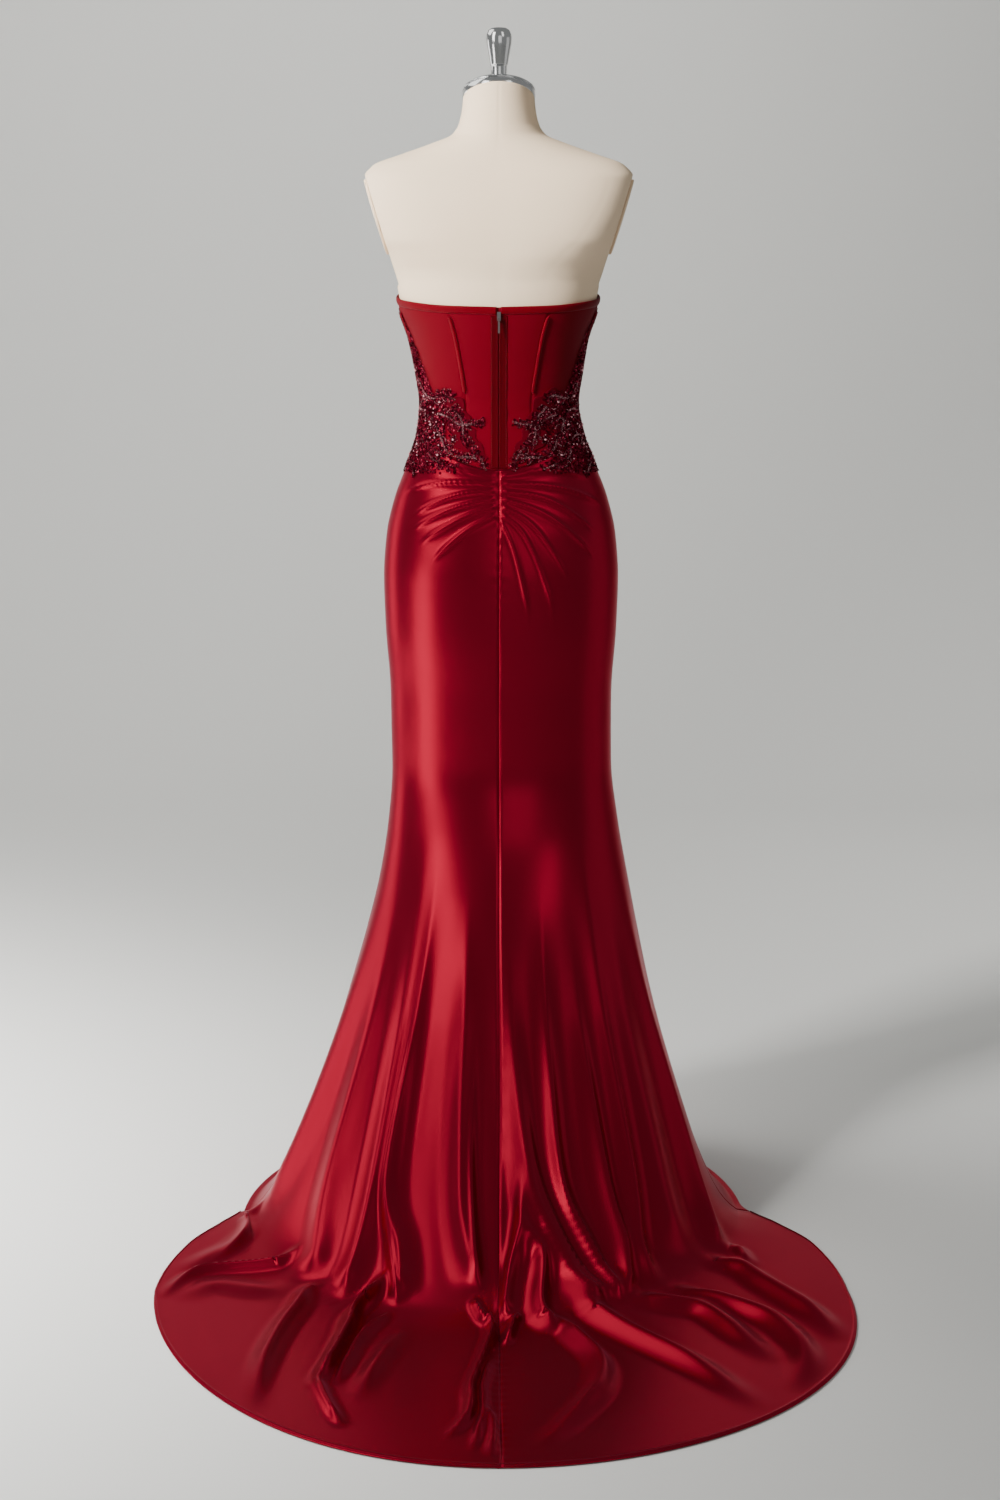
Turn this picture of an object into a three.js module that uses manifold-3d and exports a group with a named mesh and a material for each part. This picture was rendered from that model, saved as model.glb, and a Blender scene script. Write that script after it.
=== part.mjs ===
// Strapless mermaid prom dress with a train, standing on a limbless dress form.
// Millimetres, +Z up. The back of the dress and its train face -Y, its front faces +Y.
// The origin is the centre of the stand's flat underside, on the floor.
import * as THREE from "three";
import { mergeVertices } from "three/addons/utils/BufferGeometryUtils.js";
import Module from "manifold-3d";

const wasm = await Module();
wasm.setup();

// Cloth
const CLOTH = 2.0;
const SEAM_GAP = 0.3;
const FORM_GAP = 1.7;
const HALF_GAP = SEAM_GAP / 2;

// Sections of the worn dress, measured to the cloth's outside.
// z: height. half: half width. back and front: reach to -Y and +Y.
// mid: how far behind the axis the widest point lies. lean: how far the sides lean to +X.
const DRESS_SECTIONS = [
  { z: 1345, half: 156.0, back: 100, front: 108, mid: 0, lean: -1 },
  { z: 1300, half: 146.5, back: 100, front: 118, mid: 0, lean: -1 },
  { z: 1265, half: 139.5, back: 98, front: 121, mid: 0, lean: -1 },
  { z: 1225, half: 126.0, back: 92, front: 112, mid: 0, lean: -1 },
  { z: 1180, half: 117.5, back: 85, front: 97, mid: 0, lean: 0 },
  { z: 1135, half: 111.5, back: 81, front: 89, mid: 0, lean: 0 },
  { z: 1090, half: 118.5, back: 87, front: 91, mid: 0, lean: 2 },
  { z: 1050, half: 133.5, back: 95, front: 95, mid: 0, lean: 3 },
  { z: 1000, half: 152.5, back: 106, front: 100, mid: 0, lean: 3 },
  { z: 950, half: 163.8, back: 118, front: 101, mid: 2, lean: 3 },
  { z: 890, half: 168.0, back: 125, front: 100, mid: 5, lean: 3 },
  { z: 820, half: 166.0, back: 126, front: 100, mid: 5, lean: 3 },
  { z: 720, half: 159.3, back: 123, front: 101, mid: 4, lean: 3 },
  { z: 620, half: 158.8, back: 122, front: 105, mid: 4, lean: 4 },
  { z: 540, half: 165.7, back: 138, front: 115, mid: 10, lean: 6 },
  { z: 460, half: 177.7, back: 172, front: 130, mid: 26, lean: 7 },
  { z: 380, half: 194.8, back: 225, front: 150, mid: 50, lean: 5 },
  { z: 300, half: 215.5, back: 288, front: 172, mid: 76, lean: 2 },
  { z: 220, half: 240.0, back: 360, front: 195, mid: 104, lean: 0 },
  { z: 140, half: 268.0, back: 440, front: 218, mid: 135, lean: -3 },
  { z: 80, half: 292.0, back: 510, front: 236, mid: 160, lean: -6 },
  { z: 40, half: 312.0, back: 565, front: 246, mid: 177, lean: -7 },
  { z: 18, half: 328.0, back: 605, front: 250, mid: 185, lean: -8 },
  { z: 8, half: 338.0, back: 625, front: 253, mid: 189, lean: -8 },
  { z: 2, half: 346.0, back: 640, front: 256, mid: 192, lean: -8 },
];
const ROUND_ABOVE = 600;
const ROUND_BELOW = 300;
const SQUARENESS_ABOVE = 2.2;
const SQUARENESS_BELOW = 2.0;

// The train's hem is an ellipse on the floor. The turn column says which point of the
// ellipse the angle round the body runs out to, and the train column how much of the
// way there the cloth reaches.
const HEM = { x: 3, y: -500, half: 452, long: 541, skew: 36, frontLip: 8 };
const TRAIN_SPREAD = [
  { deg: 0, turn: 0, train: 1 },
  { deg: 15, turn: 28, train: 1 },
  { deg: 30, turn: 52, train: 1 },
  { deg: 45, turn: 73, train: 1 },
  { deg: 60, turn: 92, train: 1 },
  { deg: 75, turn: 109, train: 1 },
  { deg: 84, turn: 118, train: 0.75 },
  { deg: 95, turn: 126, train: 0 },
  { deg: 180, turn: 180, train: 0 },
];

// Upper edge of the bodice, and the seam between bodice and skirt, round the body.
const TOP_EDGE = [
  { deg: 0, z: 1268 },
  { deg: 28, z: 1270 },
  { deg: 60, z: 1276 },
  { deg: 85, z: 1282 },
  { deg: 110, z: 1290 },
  { deg: 135, z: 1301 },
  { deg: 152, z: 1303 },
  { deg: 167, z: 1292 },
  { deg: 180, z: 1274 },
];
const WAIST_SEAM_SIDE = 1072;
const WAIST_SEAM_DIP = 27;
const WAIST_DIP_DEG = 50;

// Seams of the bodice, as angles from the centre back at two heights.
const BODICE_SEAMS = {
  inner: { top: 28, waist: 22 },
  outer: { top: 80, waist: 71 },
  front: { top: 152, waist: 160 },
};
const SEAM_TOP_Z = 1262;
const SEAM_WAIST_Z = 1139;
const SIDE_SEAM_DEG = 90;

// Folds of the skirt. Each runs along its points, given as the angle from the centre back
// (minus is left) and a level: a height in mm, or below 0 the percentage of the way over
// the floor to the hem. high and wide are in mm, rise and fall are the shares of the
// length over which the fold grows and dies away.
const FLUTES = [
  { high: 15, wide: 60, rise: 0.6, fall: 0.15, path: [[-72, 620], [-76, 300], [-80, 90], [-85, 4]] },
  { high: 16, wide: 52, rise: 0.6, fall: 0.12, path: [[-52, 640], [-53, 300], [-51, 100], [-46, 4]] },
  { high: 18, wide: 46, rise: 0.6, fall: 0.10, path: [[-37, 680], [-38, 300], [-36, 100], [-34, 4]] },
  { high: 14, wide: 36, rise: 0.6, fall: 0.10, path: [[-30, 560], [-31, 300], [-30, 110], [-21, 6]] },
  { high: 15, wide: 44, rise: 0.6, fall: 0.10, path: [[-14, 600], [-13, 300], [-10, 110], [-5, 14]] },
  { high: 18, wide: 40, rise: 0.7, fall: 0.10, path: [[3, 420], [5, 220], [6, 90], [3, 10]] },
  { high: 20, wide: 46, rise: 0.6, fall: 0.10, path: [[9, 640], [8, 300], [11, 95], [22, 10]] },
  { high: 17, wide: 46, rise: 0.6, fall: 0.10, path: [[20, 620], [18, 300], [20, 95], [28, 4]] },
  { high: 19, wide: 48, rise: 0.6, fall: 0.10, path: [[34, 640], [33, 300], [31, 110], [29, 6]] },
  { high: 17, wide: 50, rise: 0.6, fall: 0.10, path: [[44, 600], [42, 300], [38, 100], [40, 4]] },
  { high: 18, wide: 62, rise: 0.6, fall: 0.12, path: [[56, 620], [54, 300], [50, 90], [49, 6]] },
  { high: 16, wide: 60, rise: 0.6, fall: 0.15, path: [[72, 620], [70, 300], [67, 70], [64, 4]] },
  { high: 13, wide: 90, rise: 0.6, fall: 0.05, path: [[112, 600], [114, 300], [116, 3]] },
  { high: 14, wide: 90, rise: 0.6, fall: 0.05, path: [[142, 600], [141, 300], [140, 3]] },
  { high: 13, wide: 90, rise: 0.6, fall: 0.05, path: [[168, 600], [168, 300], [167, 3]] },
  { high: 14, wide: 90, rise: 0.6, fall: 0.05, path: [[-166, 600], [-165, 300], [-165, 3]] },
  { high: 13, wide: 90, rise: 0.6, fall: 0.05, path: [[-139, 600], [-139, 300], [-140, 3]] },
  { high: 14, wide: 90, rise: 0.6, fall: 0.05, path: [[-113, 600], [-114, 300], [-116, 3]] },
];
const TRAIN_FOLDS = [
  { high: 20, wide: 40, rise: 0.15, fall: 0.5, path: [[-80, 6], [-70, -10], [-64, -35], [-62, -64]] },
  { high: 26, wide: 46, rise: 0.15, fall: 0.4, path: [[-50, 8], [-57, -10], [-61, -45], [-57, -85]] },
  { high: 24, wide: 46, rise: 0.15, fall: 0.5, path: [[-39, 14], [-40, -8], [-35, -43], [-28, -80]] },
  { high: 26, wide: 42, rise: 0.15, fall: 0.3, path: [[-27, 24], [-27, -8], [-23, -42], [-18, -80]] },
  { high: 14, wide: 40, rise: 0.30, fall: 0.5, path: [[-18, 2], [-17, -30], [-14, -70]] },
  { high: 20, wide: 34, rise: 0.20, fall: 0.3, path: [[-2, 6], [-2.5, -20], [-3.5, -48], [-4, -86]] },
  { high: 26, wide: 44, rise: 0.15, fall: 0.5, path: [[12, 10], [13, -16], [13, -36], [9, -58], [3, -92]] },
  { high: 26, wide: 50, rise: 0.15, fall: 0.5, path: [[18, 20], [22, -8], [23, -45], [24, -92]] },
  { high: 24, wide: 48, rise: 0.20, fall: 0.5, path: [[33, 8], [37, -20], [34, -48], [32, -74]] },
  { high: 28, wide: 52, rise: 0.20, fall: 0.4, path: [[42, 10], [44, -18], [42, -52], [36, -82], [30, -94]] },
  { high: 26, wide: 50, rise: 0.20, fall: 0.4, path: [[57, 14], [57, -20], [51, -58], [44, -92]] },
];
// Gathers that fan out from the centre back below the bodice, on both halves.
const GATHERS = [
  { high: 3.6, wide: 12, from: 1040, to: 1062, deg: 44 },
  { high: 4.2, wide: 13, from: 1028, to: 1040, deg: 62 },
  { high: 4.4, wide: 13, from: 1014, to: 1014, deg: 68 },
  { high: 4.4, wide: 13, from: 1000, to: 984, deg: 62 },
  { high: 4.6, wide: 14, from: 988, to: 952, deg: 54 },
  { high: 4.6, wide: 15, from: 976, to: 922, deg: 44 },
  { high: 4.0, wide: 16, from: 966, to: 868, deg: 30 },
];
const GATHER_RISE = 0.05;
const GATHER_FALL = 0.55;
const GATHER_START = 14;

// Grid of the skirt's solids, as angles and levels.
const BACK_DEGS = [
  0, 1.5, 3.5, 6, 8.5, 11, 14, 17, 20, 23, 26, 29, 32.5, 36, 40, 44, 49, 55, 62, 69, 76, 83, 90,
];
const FRONT_COLUMNS = 17;
const GATHER_ROWS = { from: 1030, to: 860, step: 17 };
const HANG_LEVELS = [800, 730, 660, 590, 520, 450, 385, 325, 270, 220, 175, 135, 98, 66, 40, 20, 7];
const TRAIN_LEVELS = [0, -8, -18, -29, -40, -51, -62, -74, -87, -100];

// Bodice trim
const BODICE_ROWS = 10;
const BINDING = { high: 10, thick: 1.6, over: 1.0, fromZip: 4, columns: 44 };
const BONE = { wide: 5.5, thick: 1.2, rows: 5 };
const BONE_LENGTHS = { inner: { top: 1256, bottom: 1150 }, outer: { top: 1261, bottom: 1220 } };
const TRIM_LIFT = 0.6;
const MOTIF = { thick: 1.3, lift: 1.1, lobes: 0.16, rows: 16 };
// Sequinned motifs as bands along a path of angles and heights, with half widths in mm.
const MOTIFS = [
  {
    name: "applique_side",
    columns: 7,
    lobeCount: 7,
    points: [
      { deg: 90, z: 1268, half: 5 },
      { deg: 90, z: 1235, half: 9 },
      { deg: 87, z: 1200, half: 17 },
      { deg: 82, z: 1165, half: 27 },
      { deg: 81, z: 1125, half: 31 },
      { deg: 80, z: 1090, half: 33 },
      { deg: 76, z: 1056, half: 26 },
    ],
  },
  {
    name: "applique_back",
    columns: 4,
    lobeCount: 6,
    points: [
      { deg: 51, z: 1142, half: 11 },
      { deg: 42, z: 1142, half: 14 },
      { deg: 32, z: 1128, half: 17 },
      { deg: 26, z: 1102, half: 17 },
      { deg: 17, z: 1078, half: 14 },
      { deg: 7, z: 1056, half: 7 },
    ],
  },
  {
    name: "applique_front",
    columns: 4,
    lobeCount: 6,
    points: [
      { deg: 108, z: 1150, half: 14 },
      { deg: 122, z: 1146, half: 18 },
      { deg: 136, z: 1128, half: 20 },
      { deg: 150, z: 1106, half: 16 },
      { deg: 166, z: 1092, half: 7 },
    ],
  },
];

// Dress form above the bodice. The neck's top is tilted: it rises towards the back.
const FORM_BOTTOM = 760;
const FORM_SECTIONS = [
  { z: 1316, half: 148.5, back: 98, front: 111, square: 2.2 },
  { z: 1341, half: 157, back: 101, front: 106, square: 2.6 },
  { z: 1362, half: 168, back: 101, front: 101, square: 3 },
  { z: 1405, half: 184, back: 96, front: 90, square: 3 },
  { z: 1445, half: 190, back: 84, front: 72, square: 3 },
  { z: 1465, half: 176, back: 74, front: 62, square: 2.6 },
  { z: 1480, half: 137, back: 66, front: 56, square: 2.2 },
  { z: 1494, half: 97, back: 60, front: 52, square: 2.1 },
  { z: 1507, half: 66, back: 57, front: 50, square: 2 },
  { z: 1522, half: 56, back: 55, front: 49, square: 2 },
  { z: 1538, half: 52, back: 54, front: 48, square: 2 },
];
const NECK_TOP = { z: 1555, half: 50, back: 54, front: 48, slope: 0.38 };
const FORM_LEVELS = [760, 865, 895, 925, 955, 985, 1015, 1045, 1070, 1095, 1120, 1145, 1172, 1200, 1228, 1254,
  1276, 1292, 1304];
const FORM_COLUMNS = 30;
const CAP = { radius: 51, high: 15, edge: 3 };
const KNOB = { top: 1653, wideZ: 1638, wideR: 18, waistZ: 1603, waistR: 12.5, stemR: 11 };
const ARM_PLATE = { high: 108, deep: 84, thick: 4, topX: 186, topZ: 1448, lowX: 153, lowZ: 1341, y: -8 };
const BASE = { radius: 190, thick: 12, edge: 3 };
const POLE_RADIUS = 16;

// Zip slider and pull tab. half, inner of the lugs and eyeHalf are distances from the centre
// line; the y and z values are places on the dress.
const SLIDER = { half: 2.5, bottom: 1250, top: 1262, inner: -98.1, outer: -100.6 };
const LUG = { inner: 1.4, outer: 2.3, outerY: -103.5, top: 1254.4 };
const HINGE = { y: -102.3, z: 1252, pin: 0.55, bore: 0.85, eye: 1.35, eyeHalf: 1.0 };
const TAB = { half: 1.25, thick: 1.0, rootLength: 3.4, length: 19 };

const COLOURS = {
  satin: { color: 0x9c0f24, roughness: 0.32, metalness: 0.1 },
  bodice: { color: 0x8e0c1c, roughness: 0.6, metalness: 0 },
  trim: { color: 0x7c0a1a, roughness: 0.55, metalness: 0 },
  sequins: { color: 0x4a0a18, roughness: 0.25, metalness: 0.4 },
  linen: { color: 0xd9d2bd, roughness: 0.85, metalness: 0 },
  chrome: { color: 0xd8dadc, roughness: 0.12, metalness: 1 },
  painted: { color: 0xe6e4de, roughness: 0.5, metalness: 0.1 },
  silver: { color: 0xc9c6c2, roughness: 0.25, metalness: 1 },
};

const part = new THREE.Group();

function addMesh(name, geometry, finish) {
  const mesh = new THREE.Mesh(geometry, new THREE.MeshStandardMaterial(COLOURS[finish]));
  mesh.name = name;
  part.add(mesh);
  return mesh;
}

const lerp = (a, b, t) => a + (b - a) * t;
const clamp01 = (t) => Math.min(1, Math.max(0, t));
const smooth = (t) => clamp01(t) ** 2 * (3 - 2 * clamp01(t));

// A smooth curve through one column of a table, without overshoot between its rows.
function tableCurve(rows, keyName, valueName) {
  const sorted = [...rows].sort((a, b) => a[keyName] - b[keyName]);
  const keys = sorted.map((row) => row[keyName]);
  const values = sorted.map((row) => row[valueName]);
  const last = keys.length - 1;
  const slopes = keys.slice(1).map((key, i) => (values[i + 1] - values[i]) / (key - keys[i]));
  const tangents = keys.map((key, i) => {
    if (i === 0) return slopes[0];
    if (i === last) return slopes[last - 1];
    const [before, after] = [slopes[i - 1], slopes[i]];
    if (before * after <= 0) return 0;
    const wideAfter = 2 * (keys[i + 1] - key) + (key - keys[i - 1]);
    const wideBefore = keys[i + 1] - key + 2 * (key - keys[i - 1]);
    return (wideAfter + wideBefore) / (wideAfter / before + wideBefore / after);
  });
  return (key) => {
    if (key <= keys[0]) return values[0];
    if (key >= keys[last]) return values[last];
    let i = 0;
    while (keys[i + 1] < key) i += 1;
    const span = keys[i + 1] - keys[i];
    const t = (key - keys[i]) / span;
    const rise = t * t * (3 - 2 * t);
    const bend = t * (1 - t) ** 2 * tangents[i] - t * t * (1 - t) * tangents[i + 1];
    return lerp(values[i], values[i + 1], rise) + span * bend;
  };
}

const dressHalf = tableCurve(DRESS_SECTIONS, "z", "half");
const dressBack = tableCurve(DRESS_SECTIONS, "z", "back");
const dressFront = tableCurve(DRESS_SECTIONS, "z", "front");
const dressMid = tableCurve(DRESS_SECTIONS, "z", "mid");
const dressLean = tableCurve(DRESS_SECTIONS, "z", "lean");
const hemTurn = tableCurve(TRAIN_SPREAD, "deg", "turn");
const trainShare = tableCurve(TRAIN_SPREAD, "deg", "train");
const topEdgeHeight = tableCurve(TOP_EDGE, "deg", "z");

const fromBack = (deg) => Math.abs(deg > 180 ? deg - 360 : deg);
const topEdge = (deg) => topEdgeHeight(fromBack(deg));
const waistSeam = (deg) => WAIST_SEAM_SIDE - WAIST_SEAM_DIP * (1 - smooth(fromBack(deg) / WAIST_DIP_DEG));

// One point of a rounded section. The angle is 0 at the centre back and 90 at +X.
function sectionPoint(deg, size, squareness) {
  const angle = THREE.MathUtils.degToRad(deg);
  const [sine, cosine] = [Math.sin(angle), Math.cos(angle)];
  const power = 2 / squareness;
  const x = size.half * Math.sign(sine) * Math.abs(sine) ** power + size.lean * sine * sine;
  const reach = Math.abs(cosine) ** power;
  const behind = -size.mid - (size.back - size.mid) * reach;
  const before = -size.mid + (size.front + size.mid) * reach;
  return [x, cosine > 0 ? behind : before];
}

function dressSize(z) {
  return {
    half: dressHalf(z),
    back: dressBack(z),
    front: dressFront(z),
    mid: dressMid(z),
    lean: dressLean(z),
  };
}

const squarenessAt = (z) =>
  lerp(SQUARENESS_BELOW, SQUARENESS_ABOVE, clamp01((z - ROUND_BELOW) / (ROUND_ABOVE - ROUND_BELOW)));

function hemPoint(deg) {
  const turn = THREE.MathUtils.degToRad(hemTurn(Math.abs(deg)) * Math.sign(deg));
  const [sine, cosine] = [Math.sin(turn), Math.cos(turn)];
  const skew = HEM.skew * sine * sine * Math.max(0, cosine);
  return [HEM.x + HEM.half * sine + skew, HEM.y - HEM.long * cosine];
}

// The dress's outside without its folds: a height in mm, or below 0 the share of the train.
function basePoint(deg, level) {
  const z = Math.max(level, CLOTH);
  const [x, y] = sectionPoint(deg, dressSize(z), squarenessAt(z));
  const share = Math.max(0, -level / 100);
  if (share === 0) return new THREE.Vector3(x, y, z);
  const angle = THREE.MathUtils.degToRad(deg);
  const floor = DRESS_SECTIONS[DRESS_SECTIONS.length - 1];
  const out = new THREE.Vector2(Math.sin(angle) / floor.half, -Math.cos(angle) / floor.back).normalize();
  const lipX = x + out.x * HEM.frontLip;
  const lipY = y + out.y * HEM.frontLip;
  const [hemX, hemY] = hemPoint(deg);
  const train = trainShare(Math.abs(deg));
  const farX = lerp(lipX, hemX, train);
  const farY = lerp(lipY, hemY, train);
  return new THREE.Vector3(lerp(x, farX, share), lerp(y, farY, share), z);
}

function baseNormal(deg, level) {
  const degStep = 0.5;
  const levelStep = level > 30 ? 3 : 1.5;
  const above = Math.min(level + levelStep, DRESS_SECTIONS[0].z);
  const below = Math.max(level - levelStep, -100);
  const round = basePoint(deg + degStep, level).sub(basePoint(deg - degStep, level));
  const up = basePoint(deg, above).sub(basePoint(deg, below));
  return round.cross(up).normalize();
}

// The fold table as lines of points in space, each with its reach along the fold.
const STEPS_PER_LEG = 6;
function foldLine(fold) {
  const points = [];
  for (let leg = 0; leg < fold.path.length - 1; leg += 1) {
    const [from, to] = [fold.path[leg], fold.path[leg + 1]];
    for (let step = 0; step < STEPS_PER_LEG; step += 1) {
      const t = step / STEPS_PER_LEG;
      points.push(basePoint(lerp(from[0], to[0], t), lerp(from[1], to[1], t)));
    }
  }
  points.push(basePoint(...fold.path[fold.path.length - 1]));
  const reach = [0];
  for (let i = 1; i < points.length; i += 1) reach.push(reach[i - 1] + points[i].distanceTo(points[i - 1]));
  return { ...fold, points, reach, length: reach[reach.length - 1] };
}

const gatherFolds = GATHERS.flatMap((gather) =>
  [-1, 1].map((side) => ({
    high: gather.high,
    wide: gather.wide,
    rise: GATHER_RISE,
    fall: GATHER_FALL,
    path: [
      [side * 1.5, gather.from],
      [side * gather.deg * 0.5, lerp(gather.from, gather.to, 0.42)],
      [side * gather.deg, gather.to],
    ],
  })),
);
const foldLines = [...FLUTES, ...TRAIN_FOLDS].map(foldLine);
const gatherLines = gatherFolds.map(foldLine);

function foldHeight(point, lines) {
  let height = 0;
  const offset = new THREE.Vector3();
  const segment = new THREE.Vector3();
  for (const line of lines) {
    let nearest = Infinity;
    let along = 0;
    for (let i = 0; i < line.points.length - 1; i += 1) {
      segment.subVectors(line.points[i + 1], line.points[i]);
      offset.subVectors(point, line.points[i]);
      const t = clamp01(offset.dot(segment) / segment.lengthSq());
      const distance = offset.addScaledVector(segment, -t).length();
      if (distance < nearest) {
        nearest = distance;
        along = lerp(line.reach[i], line.reach[i + 1], t) / line.length;
      }
    }
    const ends = smooth(along / line.rise) * smooth((1 - along) / line.fall);
    height += line.high * ends * Math.exp(-2.8 * (nearest / line.wide) ** 2);
  }
  return height;
}

// Outer and inner points of the skirt's wall. The gathers are raised in the outside only.
function skirtPair(deg, level) {
  const base = basePoint(deg, level);
  const normal = baseNormal(deg, level);
  const folded = base.clone().addScaledVector(normal, foldHeight(base, foldLines));
  folded.z = Math.max(folded.z, CLOTH);
  const clearOfSeam = smooth((waistSeam(deg) - level) / GATHER_START);
  const outer = folded.clone().addScaledVector(normal, clearOfSeam * foldHeight(base, gatherLines));
  const inner = folded.clone().addScaledVector(normal, -CLOTH);
  inner.z = Math.max(inner.z, 0);
  return { outer, inner };
}

// A closed wall between two grids of points that match row by row.
function wallGeometry(pairs) {
  const rows = pairs.length;
  const columns = pairs[0].length;
  const positions = [];
  for (const layer of ["outer", "inner"]) {
    for (const row of pairs) {
      for (const pair of row) positions.push(pair[layer].x, pair[layer].y, pair[layer].z);
    }
  }
  const outerIndex = (r, c) => r * columns + c;
  const innerIndex = (r, c) => rows * columns + r * columns + c;
  const index = [];
  const quad = (a, b, c, d) => index.push(a, b, c, a, c, d);
  for (let r = 0; r < rows - 1; r += 1) {
    for (let c = 0; c < columns - 1; c += 1) {
      quad(outerIndex(r, c), outerIndex(r + 1, c), outerIndex(r + 1, c + 1), outerIndex(r, c + 1));
      quad(innerIndex(r, c), innerIndex(r, c + 1), innerIndex(r + 1, c + 1), innerIndex(r + 1, c));
    }
  }
  for (let r = 0; r < rows - 1; r += 1) {
    quad(outerIndex(r, 0), innerIndex(r, 0), innerIndex(r + 1, 0), outerIndex(r + 1, 0));
    const c = columns - 1;
    quad(outerIndex(r + 1, c), innerIndex(r + 1, c), innerIndex(r, c), outerIndex(r, c));
  }
  for (let c = 0; c < columns - 1; c += 1) {
    quad(outerIndex(0, c + 1), innerIndex(0, c + 1), innerIndex(0, c), outerIndex(0, c));
    const r = rows - 1;
    quad(outerIndex(r, c), innerIndex(r, c), innerIndex(r, c + 1), outerIndex(r, c + 1));
  }
  return indexedGeometry(positions, index);
}

// Turns the faces outwards when the shape comes out with a negative volume.
function indexedGeometry(positions, index) {
  let volume = 0;
  const corner = (i) => new THREE.Vector3(...positions.slice(3 * i, 3 * i + 3));
  for (let i = 0; i < index.length; i += 3) {
    volume += corner(index[i]).dot(corner(index[i + 1]).cross(corner(index[i + 2])));
  }
  if (volume < 0) index.reverse();
  const geometry = new THREE.BufferGeometry();
  geometry.setAttribute("position", new THREE.Float32BufferAttribute(positions, 3));
  geometry.setIndex(index);
  return geometry;
}

// Degrees that make half a seam gap round the body at this level.
function gapDegrees(deg, level) {
  return HALF_GAP / basePoint(deg + 0.5, level).distanceTo(basePoint(deg - 0.5, level));
}

// Skirt: two back panels that meet at the centre back, and one front panel.
const gatherLevels = [];
for (let z = GATHER_ROWS.from; z >= GATHER_ROWS.to; z -= GATHER_ROWS.step) gatherLevels.push(z);
const skirtLevels = [...gatherLevels, ...HANG_LEVELS, ...TRAIN_LEVELS];

function seamRow(deg, part) {
  return lerp(waistSeam(deg) - HALF_GAP, gatherLevels[0], part);
}

function skirtRows(degs) {
  const rows = [0, 0.5].map((share) => degs.map((deg) => skirtPair(deg, seamRow(deg, share))));
  for (const level of skirtLevels) {
    rows.push(degs.map((deg) => {
      const atEdge = deg === degs[0] || deg === degs[degs.length - 1];
      const inward = Math.sign(degs[1] - degs[0]) * (deg === degs[0] ? 1 : -1);
      return skirtPair(atEdge ? deg + inward * gapDegrees(deg, level) : deg, level);
    }));
  }
  return rows;
}

// The front panel has every second row, so the back panels' side seams follow its straight edges.
const everySecond = (rows) => rows.filter((row, i) => i % 2 === 0 || i === rows.length - 1);
function straightenEdge(rows, column) {
  for (let i = 1; i < rows.length - 1; i += 2) {
    for (const layer of ["outer", "inner"]) {
      rows[i][column][layer].lerpVectors(rows[i - 1][column][layer], rows[i + 1][column][layer], 0.5);
    }
  }
}

for (const [side, name] of [[-1, "skirt_back_left"], [1, "skirt_back_right"]]) {
  const rows = skirtRows(BACK_DEGS.map((deg) => side * deg));
  straightenEdge(rows, BACK_DEGS.length - 1);
  addMesh(name, wallGeometry(rows), "satin");
}
const frontDegs = [];
for (let c = 0; c <= FRONT_COLUMNS; c += 1) {
  frontDegs.push(lerp(SIDE_SEAM_DEG, 360 - SIDE_SEAM_DEG, c / FRONT_COLUMNS));
}
addMesh("skirt_front", wallGeometry(everySecond(skirtRows(frontDegs))), "satin");

// Bodice: seven panels between the centre back and the seams
function bodiceSeam(name, z) {
  const { top, waist } = BODICE_SEAMS[name];
  return lerp(waist, top, clamp01((z - SEAM_WAIST_Z) / (SEAM_TOP_Z - SEAM_WAIST_Z)));
}

const backSeam = () => 0;
const innerSeam = (z) => bodiceSeam("inner", z);
const outerSeam = (z) => bodiceSeam("outer", z);
const frontSeam = (z) => bodiceSeam("front", z);
const farFrontSeam = (z) => 360 - bodiceSeam("front", z);

// A point of the cloth's wall, or of trim that lies on it: lift is its distance from the cloth.
function surfacePair(deg, z, lift, thick) {
  const base = basePoint(deg, z);
  const normal = baseNormal(deg, z);
  return {
    outer: base.clone().addScaledVector(normal, lift + thick),
    inner: base.clone().addScaledVector(normal, lift),
  };
}

function bodicePanel(name, side, fromSeam, toSeam, columns) {
  const rows = [];
  for (let r = 0; r <= BODICE_ROWS; r += 1) {
    const row = [];
    for (let c = 0; c <= columns; c += 1) {
      let z = SEAM_WAIST_Z;
      let deg = 0;
      for (let pass = 0; pass < 3; pass += 1) {
        deg = lerp(fromSeam(z), toSeam(z), c / columns);
        z = lerp(topEdge(deg), waistSeam(deg) + HALF_GAP, r / BODICE_ROWS);
      }
      const inward = c === 0 ? 1 : c === columns ? -1 : 0;
      deg += inward * gapDegrees(deg, z);
      row.push(surfacePair(side * deg, z, -CLOTH, CLOTH));
    }
    rows.push(row);
  }
  addMesh(name, wallGeometry(rows), "bodice");
}

for (const [side, word] of [[-1, "left"], [1, "right"]]) {
  bodicePanel(`bodice_back_${word}`, side, backSeam, innerSeam, 4);
  bodicePanel(`bodice_side_${word}`, side, innerSeam, outerSeam, 6);
  bodicePanel(`bodice_front_side_${word}`, side, outerSeam, frontSeam, 8);
}
bodicePanel("bodice_front", 1, frontSeam, farFrontSeam, 6);

// Binding round the top edge, open at the zip
const bindingRows = [];
for (const share of [0, 1]) {
  const row = [];
  for (let c = 0; c <= BINDING.columns; c += 1) {
    const gap = gapDegrees(0, SEAM_TOP_Z) * (BINDING.fromZip / HALF_GAP);
    const deg = lerp(gap, 360 - gap, c / BINDING.columns);
    const z = topEdge(deg) + BINDING.over - share * (BINDING.high + BINDING.over);
    row.push(surfacePair(deg, z, TRIM_LIFT, BINDING.thick));
  }
  bindingRows.push(row);
}
addMesh("top_binding", wallGeometry(bindingRows), "trim");

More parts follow.
